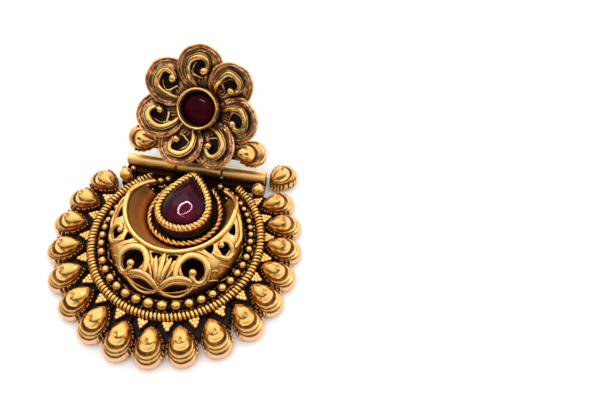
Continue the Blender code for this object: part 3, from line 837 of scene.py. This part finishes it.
def beadPlaces():
    half = pi - radians(beads["openAngle"]) / 2
    row = [(1.26 * beads["large"] / beads["ring"], beads["large"])]
    while row[-1][0] < half:
        angle, radius = row[-1]
        angle += 2.52 * radius / beads["ring"]
        share = min(1.0, 1.4 * angle / half)
        row.append((angle, beads["large"] + (beads["small"] - beads["large"]) * share))
    return [(-angle, radius) for angle, radius in row[::-1]] + row


def makeBeads():
    row = beadPlaces()
    end = row[-1][0]
    shapes = []
    section = ((0.36, -0.9), (0.36, -0.15), (0.22, 0.0), (-0.22, 0.0), (-0.36, -0.15), (-0.36, -0.9))
    strip = [onCircle(beads["ring"], angle, beads["stripTop"]) for angle in spread(end, 140)]
    shapes.append(sweep(strip, section, patina=0.7))
    for angle, radius in row:
        size = radius * (0.97 + 0.05 * chance.random())
        centre = onCircle(beads["ring"], angle, beads["stripTop"] + radius * 0.5)
        shapes.append(roughened(ball(centre, size, 22, 14, 0.75), 0.03, 0.9))
    for i in range(beads["grains"]):
        angle = chance.uniform(-end, end) * 0.98
        radius = chance.uniform(0.12, 0.3)
        inside = i % 3 == 0
        reach = 10.95 + chance.uniform(-0.06, 0.12) if inside else 12.52 + chance.uniform(-0.1, 0.05)
        centre = onCircle(reach, angle, 1.55 + chance.uniform(0, 0.35))
        shapes.append(roughened(ball(centre, radius, 10, 7, 0.45), 0.04, 2.4))
    makePiece("beadRow", gather(shapes), castGold, "drop", "bright_gold", ("bead_row",))


makeCoil()
makeBeads()
print("coil and beads are made")


# Rim drops: tiered teardrops with a small hollow near the point and a row of beaded ribs.

def rimDropShape():
    outline = teardrop(rimDrop["length"], rimDrop["width"], 56, 0.55)
    # Rows of height, scale, shift, darkening and pale sheen. The darkening marks the grooves between the
    # tiers, patina and painted shade; the sheen is a painted reflection low on the drop.
    levels = (
        (0.00, 0.86, 0.000, 0.4, 0.3),
        (0.14, 0.93, 0.000, 0.0, 0.7),
        (0.48, 0.985, 0.000, 0.0, 1.0),
        (0.90, 1.00, 0.000, 0.0, 1.0),
        (1.30, 0.985, 0.003, 0.0, 1.0),
        (1.64, 0.945, 0.012, 0.0, 0.9),
        (1.90, 0.885, 0.026, 0.0, 0.6),
        (2.03, 0.835, 0.040, 0.1, 0.2),
        (2.08, 0.80, 0.050, 0.5, 0.0),
        (2.18, 0.785, 0.054, 0.6, 0.0),
        (2.28, 0.785, 0.055, 0.5, 0.0),
        (2.33, 0.80, 0.056, 0.1, 0.0),
        (2.44, 0.805, 0.058, 0.0, 0.0),
        (2.53, 0.78, 0.066, 0.05, 0.0),
        (2.58, 0.75, 0.078, 0.4, 0.0),
        (2.63, 0.715, 0.094, 0.7, 0.0),
        (2.70, 0.67, 0.116, 0.75, 0.0),
        (2.76, 0.645, 0.130, 0.5, 0.0),
        (2.86, 0.66, 0.138, 0.05, 0.0),
        (3.02, 0.65, 0.144, 0.0, 0.0),
        (3.30, 0.605, 0.150, 0.0, 0.0),
        (3.58, 0.52, 0.148, 0.0, 0.0),
        (3.82, 0.45, 0.130, 0.0, 0.0),
        (4.00, 0.37, 0.105, 0.0, 0.0),
        (4.12, 0.29, 0.078, 0.0, 0.0),
        (4.16, 0.24, 0.060, 0.15, 0.0),
        (4.24, 0.205, 0.048, 0.0, 0.0),
        (4.29, 0.175, 0.040, 0.0, 0.0),
        (4.25, 0.145, 0.034, 0.1, 0.0),
        (4.16, 0.11, 0.033, 0.3, 0.0),
        (4.12, 0.06, 0.033, 0.45, 0.0),
        (4.11, 0.01, 0.033, 0.45, 0.0),
    )
    loops = []
    for height, scale, shift, _, _ in levels:
        loops.append(at(outline, height, scale, (0, shift * rimDrop["length"] - rimDrop["shift"])))
    patina = [row[3] for row in levels]
    blush = [row[4] for row in levels]
    body = skin(loops, patina=patina, blush=blush)
    # The pale sheen on the base, a painted reflection, shows only where the drop's round end faces out;
    # its flanks, which face the next drops, are darkened with painted shade.
    marks = []
    patina = []
    for point, mark, dark in zip(body["points"], body["blush"], body["patina"]):
        outwards = min(1.0, max(0.0, -(point.y + 0.6) / 1.4))
        marks.append(mark * outwards)
        flankShade = (1 - outwards) * (0.85 if 0.5 < point.z < 1.95 else 0.0)
        patina.append(max(dark, flankShade))
    shapes = [shapeOf(body["points"], body["faces"], patina, marks)]
    ribs = at(outline, 1.45, 0.965, (0, 0.008 * rimDrop["length"] - rimDrop["shift"]))
    lengths = [0.0]
    for a, b in zip(ribs, ribs[1:]):
        lengths.append(lengths[-1] + (b - a).length)
    spacing = rimDrop["ribWidth"] * 2.15
    wanted = 0.0
    half = len(ribs) // 2
    for i in range(half):
        while wanted <= lengths[i]:
            if ribs[i].y > -1.7:
                for side in (1, -1):
                    centre = Vector((ribs[i].x * side, ribs[i].y, ribs[i].z))
                    tall = rimDrop["ribHeight"] / rimDrop["ribWidth"]
                    if wanted > 0 or side == 1:
                        shapes.append(ball(centre, rimDrop["ribWidth"], 10, 10, 0.1, tall))
            wanted += spacing
    return gather(shapes)


def makeRimDrops():
    mesh = meshOf("rimDrop", rimDropShape(), 50)
    for number, (angle, share, turn) in enumerate(rimDropRows, 1):
        place = Matrix.Translation(onCircle(share * coil["radius"], radians(angle)))
        place = place @ Matrix.Rotation(radians(angle + turn), 4, "Z")
        name = f"rimDrop{number:02d}"
        node = f"rim_drop_{number:02d}"
        makePiece(name, mesh, domeGold, "drop", "bright_gold", (node,), inMetres(place))
    return mesh


dropMesh = makeRimDrops()
print("rim drops are made")


# The pierced gallery with its scrolls.

gallery = {
    "radius": 8.9, "centreY": 4.4, "top": 5.6, "hornTop": 3.6, "hornAngle": 136, "angle": 116,
    "rimWire": 0.42, "wall": 0.7, "foot": 10.75, "shift": 0.27, "scroll": 0.56,
}
openings = (
    ((0.34, -1.28), (0.33, -1.14), (0.43, -1.03), (0.58, -1.02), (0.69, -1.10), (0.71, -1.25), (0.62, -1.37),
     (0.45, -1.38)),
    ((0.06, -1.05), (0.24, -1.04), (0.13, -1.18)),
    ((0.63, -0.82), (0.75, -0.71), (0.78, -0.89)),
    ((0.85, -0.73), (0.94, -0.58), (1.05, -0.66), (0.98, -0.86)),
    ((0.96, -0.42), (1.03, -0.23), (1.08, -0.44)),
    ((0.06, -1.595), (0.16, -1.535), (0.28, -1.49), (0.42, -1.47), (0.50, -1.475), (0.42, -1.535),
     (0.28, -1.585), (0.15, -1.61)),
)
# How high each kind of scroll stands for its width, and how much its ends taper.
scrollKinds = {"band": (0.75, 0.3), "leaf": (1.1, 0.6), "lip": (0.8, 0.3), "ridge": (0.6, 0.7)}
scrollLines = (
    ("band", 1.0, ((0.27, -1.42), (0.26, -1.30), (0.28, -1.16), (0.37, -1.03), (0.50, -0.98), (0.66, -1.02),
                   (0.76, -1.14), (0.75, -1.29), (0.67, -1.38), (0.58, -1.39), (0.53, -1.33))),
    ("band", 0.75, ((0.80, -0.87), (0.90, -0.90), (1.03, -0.87), (1.09, -0.74), (1.03, -0.62), (0.93, -0.60),
                    (0.88, -0.66))),
    ("band", 0.7, ((1.12, -0.62), (1.16, -0.42), (1.12, -0.22), (1.05, -0.05))),
    ("leaf", 0.72, ((0.04, -1.50), (0.085, -1.30), (0.13, -1.11))),
    ("leaf", 0.42, ((0.12, -1.46), (0.165, -1.36), (0.215, -1.25))),
    ("lip", 0.8, ((0.0, -1.60), (0.11, -1.50), (0.23, -1.43), (0.37, -1.395), (0.50, -1.40), (0.60, -1.425))),
    ("lip", 0.42, ((0.03, -1.605), (0.14, -1.535), (0.26, -1.48), (0.40, -1.45), (0.54, -1.445))),
    ("lip", 0.62, ((0.0, -1.60), (0.12, -1.635), (0.28, -1.625), (0.44, -1.565), (0.58, -1.45))),
    ("ridge", 0.3, ((0.78, -1.20), (0.90, -1.12), (1.00, -1.16))),
    ("ridge", 0.3, ((0.76, -1.32), (0.92, -1.22), (1.06, -1.10))),
    ("ridge", 0.3, ((0.92, -1.02), (1.04, -0.98), (1.13, -0.90))),
    ("ridge", 0.3, ((1.16, -0.78), (1.20, -0.62), (1.20, -0.45))),
    ("ridge", 0.34, ((0.30, -0.99), (0.40, -0.93), (0.52, -0.89), (0.66, -0.92), (0.80, -0.98))),
)


# A point on the rim, a circle below that is flatter and lower above, towards its horns.
def rimPoint(angle, radius=None, inset=0.0):
    rise = max(0.0, -cos(angle))
    radius = (gallery["radius"] if radius is None else radius) - inset
    y = gallery["centreY"] - radius * cos(angle) * (1 - 0.36 * rise**0.5)
    return Vector((radius * sin(angle), y, gallery["top"] + (gallery["hornTop"] - gallery["top"]) * rise))


# A point on the gallery's wall from its rim to its foot, outside or at a depth inside it.
def domePoint(angle, share, wall=0.0):
    rim = rimPoint(angle, inset=gallery["rimWire"] * 0.8 * min(1, wall * 2))
    outwards = rimPoint(angle)
    turn = atan2(outwards.x, gallery["shift"] - outwards.y)
    foot = onCircle(gallery["foot"] - wall, turn, plate["seat"])
    foot.y += gallery["shift"]
    point = rim.lerp(foot, share)
    point.z = foot.z + (rim.z - wall - foot.z) * (1 - share**3) ** 0.5
    return point


def turnOf(point):
    return atan2(point.x, gallery["shift"] - point.y)


# The point of the gallery's outside above a place in plan.
def surfacePoint(x, y):
    wanted = turnOf(Vector((x, y, 0)))
    low = -radians(gallery["angle"]) - 0.3
    high = -low
    for _ in range(30):
        middle = (low + high) / 2
        if turnOf(rimPoint(middle)) < wanted:
            low = middle
        else:
            high = middle
    rim = rimPoint(low)
    near = hypot(rim.x, rim.y - gallery["shift"])
    here = hypot(x, y - gallery["shift"])
    share = min(0.995, max(0.0, (here - near) / (gallery["foot"] - near)))
    height = plate["seat"] + (rim.z - plate["seat"]) * sqrt(1 - share**3)
    return Vector((x, y, height))


def surfaceNormal(x, y):
    step = 0.05
    a = surfacePoint(x + step, y) - surfacePoint(x - step, y)
    b = surfacePoint(x, y + step) - surfacePoint(x, y - step)
    return a.cross(b).normalized()


# A place counted from the rim's centre in shares of its radius, as millimetres in plan.
def onGallery(x, y, side=1):
    return side * x * gallery["radius"], gallery["centreY"] + y * gallery["radius"]


def galleryTube(corners, size, side, flat, taper, patina=0.0):
    line = smoothPath([(x, y, 0) for x, y in corners], 7)
    path = []
    normals = []
    for point in line:
        x, y = onGallery(point.x, point.y, side)
        normal = surfaceNormal(x, y)
        path.append(surfacePoint(x, y) + normal * size * flat * 0.25)
        normals.append(normal)
    last = len(path) - 1
    radii = [size * (1 - taper * abs(2 * i / last - 1) ** 2.5) for i in range(last + 1)]
    return tube(path, radii, 12, normals, flat, patina)


def makeGallery():
    shares = [i / 16 for i in range(17)]
    sections = []
    for angle in spread(radians(gallery["angle"]), 150):
        outside = [domePoint(angle, share) for share in shares]
        inside = [domePoint(angle, share, gallery["wall"]) for share in shares]
        sections.append(outside + inside[::-1])
    # The outside darkens towards its foot and the inside wall is dark all over: patina and painted shade.
    marks = [0.1 + 0.5 * share**3 for share in shares] + [1.0] * len(shares)
    shell = skin(sections)
    shell["patina"] = marks * len(sections)
    cutters = []
    for outline in openings:
        for side in (1, -1):
            corners = smoothPath([(x, y, 0) for x, y in outline], 4, closed=True)
            flat = [onGallery(point.x, point.y, side) for point in corners][::-side]
            loops = [[Vector((x, y, z)) for x, y in flat] for z in (plate["thickness"], 14.0)]
            cutters.append(skin(loops))
    mesh = cutThrough(meshOf("galleryShell", shell), gather(cutters))
    makePiece("galleryShell", mesh, castGold, "drop", "bright_gold", ("gallery",))
    shapes = []
    lift = Vector((0, 0, gallery["rimWire"] / 3))
    turns = spread(radians(gallery["hornAngle"]), 160)
    rim = [rimPoint(angle, inset=gallery["rimWire"] / 4) + lift for angle in turns]
    shapes.append(tube(rim, gallery["rimWire"], 14))
    for side in (1, -1):
        for kind, share, corners in scrollLines:
            flat, taper = scrollKinds[kind]
            shapes.append(galleryTube(corners, gallery["scroll"] * share, side, flat, taper))
        for x, y, size in ((0.535, -1.27, 0.62), (0.90, -0.70, 0.46), (0.0, -1.58, 0.36), (0.61, -1.44, 0.3)):
            plan = onGallery(x, y, side)
            centre = surfacePoint(*plan) + surfaceNormal(*plan) * 0.05
            if x or side == 1:
                shapes.append(ball(centre, size, 20, 12, 0.2))
    shapes.append(galleryTube(((0, -1.53), (0, -1.28), (0, -1.03)), 0.44, 1, 1.0, 0.6))
    makePiece("galleryScrolls", gather(shapes), castGold, "drop", "bright_gold")


makeGallery()
print("gallery is made")


# The funnel, the collet with its rope, the second rope and the pear stone.

funnel = {"foot": 6.75, "shift": 0.95, "wall": 0.36, "drop": 0.2, "sag": 0.1925, "angle": 122, "inset": 0.57}
pear = {
    "length": 9.4, "width": 6.9, "x": 0.3, "footY": 0.9, "dome": 1.6, "wall": 0.85, "height": 5.0,
}
rope = {
    "length": 13.4, "width": 11.6, "footY": -0.65, "radius": 0.48, "endAngle": 50, "pitch": 1.8,
    "innerPitch": 1.35, "innerRadius": 0.34,
}


def makeFunnel():
    sections = []
    steps = 14
    for angle in spread(radians(funnel["angle"]), 110):
        top = rimPoint(angle, inset=funnel["inset"])
        top.z -= gallery["rimWire"] / 2
        foot = rimPoint(angle, funnel["foot"])
        foot.y += funnel["shift"]
        foot.z = plate["seat"]
        inner = []
        outer = []
        for i in range(steps + 1):
            share = i / steps
            point = top.lerp(foot, share)
            point.z = top.z + (foot.z - top.z) * share - funnel["sag"] * sin(pi * share)
            inner.append(point)
            away = Vector((point.x, point.y - gallery["centreY"], 0)).normalized()
            behind = point + away * funnel["wall"]
            behind.z = max(plate["seat"], point.z - funnel["drop"])
            outer.append(behind)
        sections.append(outer + inner[::-1])
    makePiece("funnel", skin(sections), funnelGold, "drop", "aged_gold", ("trough",))


def pearPlace():
    return Matrix.Translation((pear["x"], pear["footY"] + pear["length"] / 2, 0))


def makePear():
    outline = teardrop(pear["length"], pear["width"], 96)
    seat = plate["seat"]
    top = pear["height"]
    rows = (
        (pear["wall"], seat, 1.0),
        (pear["wall"], seat + 1.2, 1.0),
        (pear["wall"] * 0.8, seat + 1.35, 0.9),
        (pear["wall"] * 0.78, seat + 1.6, 0.9),
        (pear["wall"], seat + 1.75, 0.85),
        (pear["wall"], seat + 2.5, 0.85),
        (pear["wall"] * 0.7, seat + 2.75, 0.9),
        (pear["wall"] * 0.7, top - 0.7, 0.8),
        (pear["wall"] * 0.5, top - 0.55, 0.8),
        (0.28, top - 0.5, 0.5),
        (0.25, top - 0.1, 0.1),
        (0.18, top, 0.0),
        (0.08, top - 0.02, 0.0),
        (0.03, top - 0.25, 0.7),
        (0.03, top - 1.0, 1.0),
    )
    loops = [at(grown(outline, out), height) for out, height, _ in rows]
    loops.append(at(outline, top - 1.2, 0.5))
    collet = skin(loops, patina=[row[2] for row in rows] + [1.0])
    makePiece("pearCollet", placed(collet, pearPlace()), castGold, "drop", "aged_gold", ("pear_bezel",))
    line = at(grown(outline, 0.55), top - 0.12)
    fine = smoothPath(line, 4, closed=True)
    inner = twistedRope(fine, rope["innerRadius"], rope["innerPitch"], 8, closed=True)
    makePiece("colletRope", placed(inner, pearPlace()), wireGold, "drop", "aged_gold")
    girdle = top - 0.225
    loops = [at(outline, top - 1.05, 0.97), at(outline, girdle - 0.1, 1.0)]
    for i in range(25):
        tilt = pi / 2 * i / 24
        scale = max(0.01, cos(tilt)) ** 0.85
        loops.append(at(outline, girdle + pear["dome"] * sin(tilt), scale, (0, -0.35 * sin(tilt) ** 2)))
    stone = placed(skin(loops), pearPlace())
    makePiece("pearCabochon", stone, pearGlass, "drop", "ruby_glass", ("pear_stone",), smoothAngle=60)


def makeOuterRope():
    count = 96
    outline = teardrop(rope["length"], rope["width"], count, 0.45)
    skip = round(count * rope["endAngle"] / 360)
    path = smoothPath(at(outline[skip : count - skip + 1], plate["seat"] + rope["radius"]), 6)
    twisted = twistedRope(path, rope["radius"] / 1.85, rope["pitch"], 8)
    place = Matrix.Translation((0, rope["footY"] + rope["length"] / 2, 0))
    makePiece("outerRope", placed(twisted, place), wireGold, "drop", "aged_gold", ("bezel_rope",))


makeFunnel()
makePear()
makeOuterRope()
print("funnel, collet, ropes and pear stone are made")


# The stud: plate, flower, cup, stone, side drops and post, in the leaning frame of the hinge.

stud = {
    "tilt": 42, "thickness": 0.9, "radius": 5.2, "distance": 10.3,
    "sideX": 9.1, "sideShift": -0.25, "sideY": 4.0, "post": 0.45,
}
petal = {
    "count": 7, "radius": 3.9, "distance": 6.6, "offset": 0.4, "height": 4.1, "thickness": 0.6,
    "lift": 16, "roll": 12, "ribbon": 0.52, "ball": 0.62,
}
cup = {"radius": 3.5, "wall": 0.7, "top": 5.7, "low": 3.15, "recess": 0.9, "stoneDepth": 1.3, "hub": 4.2}
hingeAxis = Matrix.Translation((hinge["x"], hinge["y"], hinge["z"]))
studFrame = hingeAxis @ Matrix.Rotation(radians(stud["tilt"]), 4, "X")
flowerFrame = studFrame @ Matrix.Translation((0, stud["distance"], 0))


def makeStudPlate():
    half = stud["thickness"] / 2
    size = stud["radius"]
    disc = turned(
        ((0.1, -half), (size * 0.5, -half), (size - 0.2, -half), (size, -half + 0.2), (size, half - 0.2),
         (size - 0.2, half), (size * 0.5, half), (0.1, half)), 64
    )
    shapes = [placed(disc, Matrix.Translation((0, stud["distance"], 0)))]
    reach = stud["sideX"] + rimDrop["length"] / 4
    width = rimDrop["width"] * 0.35
    left = (stud["sideShift"] - reach, stud["sideY"] - width)
    right = (stud["sideShift"] + reach, stud["sideY"] + width)
    shapes.append(rail(left, right, -half, half))
    low = hinge["middleShift"] - hinge["middle"] / 2
    high = hinge["middleShift"] + hinge["middle"] / 2
    shapes.append(rail((low, 0.6), (high, stud["distance"] - size / 2), -half, half))
    shape = placed(gather(shapes), studFrame)
    makePiece("studPlate", shape, shadedGroundGold, "stud", "aged_gold", ("stud_plate",))
    middle = placed(tubeStock(low, high), studFrame)
    makePiece("middleKnuckle", middle, tubeGold, "stud", "aged_gold")


def petalFrame(number):
    turn = Matrix.Rotation(2 * pi * number / petal["count"], 4, "Z")
    centre = Matrix.Translation((-petal["offset"], petal["distance"], petal["height"]))
    lift = Matrix.Rotation(radians(petal["lift"]), 4, "X")
    roll = Matrix.Rotation(radians(petal["roll"]), 4, "Y")
    return turn @ centre @ lift @ roll


scrollCorners = (
    (-0.19, -0.78, 0.10), (-0.36, -0.54, 0.14), (-0.48, -0.26, 0.18), (-0.53, 0.10, 0.22),
    (-0.42, 0.34, 0.25), (-0.20, 0.48, 0.27), (0.06, 0.51, 0.28), (0.25, 0.40, 0.28),
    (0.31, 0.20, 0.28), (0.27, 0.03, 0.27), (0.16, -0.04, 0.26),
)


# How deep a place on the dish lies within the scroll's loop, from 0 to 1.
def insideScroll(x, y):
    size = petal["radius"]
    reach = hypot((x / size + 0.10) / 0.36, (y / size + 0.05) / 0.50)
    return min(1.0, max(0.0, (1.15 - reach) / 0.3))


def bulge(value, centre, width):
    share = (value - centre) / width
    return max(0.0, 1 - share * share)


def petalDish():
    size = petal["radius"]
    rings = (0.02, 0.15, 0.3, 0.42, 0.52, 0.6, 0.66, 0.70, 0.74, 0.77, 0.80, 0.83, 0.86, 0.89, 0.92, 0.95,
             0.98, 1.0)
    count = 72
    loops = []
    marks = []
    for share in (0.3, 0.6, 0.85, 0.92):
        loops.append(circle(size * share, count, -petal["thickness"]))
        marks += [0.8] * count
    for share in rings[::-1]:
        loop = []
        for k in range(count):
            turn = 2 * pi * k / count
            x = size * share * cos(turn)
            y = size * share * sin(turn)
            deep = insideScroll(x, y)
            nearCup = min(1.0, max(0.0, (-y / size - 0.45) / 0.25))
            rimHeight = (0.31 * bulge(share, 0.95, 0.055) + 0.22 * bulge(share, 0.82, 0.05)) * (1 - nearCup)
            rough = 0.24 * noise.noise(Vector((x * 1.1, y * 1.1, 0.3))) * bulge(share, 0.6, 0.42)
            z = 0.06 + rimHeight + rough - 0.18 * deep
            loop.append(Vector((x, y, z)))
            # The rims get a mark down to below zero, rubbed wear and a painted highlight together; inside the
            # scroll's loop and towards the cup the mark darkens the dish, patina and painted shade.
            bright = bulge(share, 0.95, 0.07) + 0.7 * bulge(share, 0.83, 0.05)
            worn = 0.26 + 0.7 * noise.noise(Vector((x * 0.8, y * 0.8, 4.0)))
            marks.append(max(-0.3, min(1.0, worn - 0.9 * bright + 0.8 * deep + 0.6 * nearCup)))
        loops.append(loop)
    dish = skin(loops)
    dish["patina"] = marks
    # A faint painted pale sheen in a band round the middle of each dish.
    dish["blush"] = [0.2 * bulge(hypot(p.x, p.y) / size, 0.78, 0.3) for p in dish["points"]]
    return dish


def petalRibbon():
    size = petal["radius"]
    path = smoothPath([Vector(row) * size for row in scrollCorners], 6)
    last = len(path) - 1
    sections = []
    for i, point in enumerate(path):
        share = i / last
        half = petal["ribbon"] * (0.75 + 0.35 * sin(pi * min(1.0, share * 1.15)))
        down = -point.z
        sections.append(
            [
                (-half, down), (-half * 1.05, -0.25), (-half * 0.95, 0.02), (-half * 0.62, 0.24),
                (-half * 0.1, 0.31), (half * 0.35, 0.24), (half * 0.55, 0.06), (half * 0.66, 0.02),
                (half * 0.8, 0.10), (half * 0.95, 0.08), (half * 1.05, -0.12), (half, down),
            ]
        )
    marks = [1.0, 0.5, 0.1, 0.0, 0.0, 0.05, 0.45, 0.6, 0.1, 0.1, 0.6, 1.0]
    up = [Vector((0, 0, 1))] * len(path)
    ribbon = sweep(path, sections, up, marks)
    end = path[-1]
    knob = ball(end + Vector((-0.05, 0.0, 0.12)), petal["ball"], 20, 12, 0.4)
    stalk = turned(((0.42, -1.1), (0.5, -0.1)), 14, 0.8)
    stalk = placed(stalk, Matrix.Translation(end))
    line = [(-1.48, -0.55, 0.25), (-1.05, -0.95, 0.32), (-0.45, -1.2, 0.35), (0.27, -1.43, 0.3)]
    stroke = tube(smoothPath(line, 5), 0.17, 8)
    line = [(-1.1, -2.2, 0.12), (-1.25, -1.2, 0.2), (-1.2, 0.1, 0.22), (-0.6, 0.95, 0.25)]
    spine = tube(smoothPath(line, 5), 0.13, 8)
    return gather([ribbon, knob, stalk, stroke, spine])


# Short ribs where the dish meets the cup, as on the petals' roots.
def petalRibs():
    shapes = []
    for k in range(5):
        x = -0.3 + k * 0.52
        line = [(x * 0.8, -3.35, 0.12), (x, -2.6, 0.2), (x * 1.15 + 0.1, -1.75, 0.14)]
        shapes.append(tube(smoothPath(line, 4), 0.15, 8, patina=0.35))
    return gather(shapes)


def makeFlower():
    dish = petalDish()
    raised = gather([petalRibbon(), petalRibs()])
    dishes = []
    scrolls = []
    for number in range(petal["count"]):
        place = flowerFrame @ petalFrame(number)
        dishes.append(roughened(placed(dish, place), 0.2, 0.4))
        scrolls.append(roughened(roughened(placed(raised, place), 0.2, 0.4), 0.07, 1.1))
    base = stud["thickness"] / 2 + 0.15
    wide = cup["hub"]
    profile = ((0.5, base), (wide * 0.88, base), (wide, base + 0.6), (wide, 2.6), (3.7, 3.0), (0.5, 3.0))
    hub = turned(profile, 48, 0.8)
    dishes.append(placed(hub, flowerFrame))
    makePiece("petalDishes", gather(dishes), petalGold, "stud", "bright_gold", ("flower",))
    makePiece("petalScrolls", gather(scrolls), castGold, "stud", "bright_gold")


def makeCup():
    radius = cup["radius"]
    bore = radius - cup["wall"]
    top = cup["top"]
    floorZ = top - cup["recess"] - cup["stoneDepth"]
    rows = (
        (bore, cup["low"], 0.8), (radius - 0.1, cup["low"], 0.8), (radius, cup["low"] + 0.3, 0.6),
        (radius, top - 0.7, 0.4), (radius - 0.05, top - 0.25, 0.1), (radius - 0.16, top - 0.05, 0.15),
        (radius - 0.30, top, 0.22), (radius - 0.42, top - 0.06, 0.22), (radius - 0.50, top - 0.22, 0.5),
        (bore + 0.08, top - 0.45, 0.35), (bore, top - 0.8, 0.7), (bore - 0.02, floorZ, 1.0),
        (0.3, floorZ, 1.0),
    )
    shape = turned([(r, z) for r, z, _ in rows], 72, [row[2] for row in rows])
    makePiece("stoneCup", placed(shape, flowerFrame), castGold, "stud", "aged_gold", ("flower_bezel",))
    size = bore - 0.15
    high = top - cup["recess"]
    rows = [(0.2, floorZ + 0.15), (size, floorZ + 0.15), (size, high - 0.65)]
    for i in range(1, 16):
        tilt = pi / 2 * i / 15
        rows.append((size * max(0.01, cos(tilt)), high - 0.65 + 0.65 * sin(tilt)))
    stone = turned(rows, 72)
    stone = placed(stone, flowerFrame)
    makePiece("roundCabochon", stone, roundGlass, "stud", "ruby_glass", ("round_stone",), smoothAngle=60)


def makeSideDrops():
    for name, node, side in (("sideDropLeft", "side_drop_left", -1), ("sideDropRight", "side_drop_right", 1)):
        centre = (side * stud["sideX"] + stud["sideShift"], stud["sideY"], stud["thickness"] / 2 + 0.15)
        place = studFrame @ Matrix.Translation(centre) @ Matrix.Rotation(side * pi / 2, 4, "Z")
        makePiece(name, dropMesh, domeGold, "stud", "bright_gold", (node,), inMetres(place))


def makePost():
    tilt = radians(stud["tilt"])
    reach = (hinge["z"] + (stud["distance"] - stud["post"]) * sin(tilt)) / cos(tilt)
    low = -reach
    high = -stud["thickness"] / 2 - 0.15
    size = stud["post"]
    groove = size * 0.82
    rows = [
        (size * 0.5, low), (size * 0.85, low + 0.12), (size, low + 0.35), (size, low + 1.5),
        (groove, low + 1.7), (groove, low + 1.95), (size, low + 2.15), (size, high - 0.5), (size, high),
    ]
    makePiece("earPost", placed(turned(rows, 24), flowerFrame), pinBrass, "stud", "pin_metal", ("ear_post",))


makeStudPlate()
makeFlower()
makeCup()
makeSideDrops()
makePost()
print("stud is made")

settings = bpy.context.scene.view_settings
settings.view_transform = "Standard"
settings.look = "None"
settings.exposure = 0.0
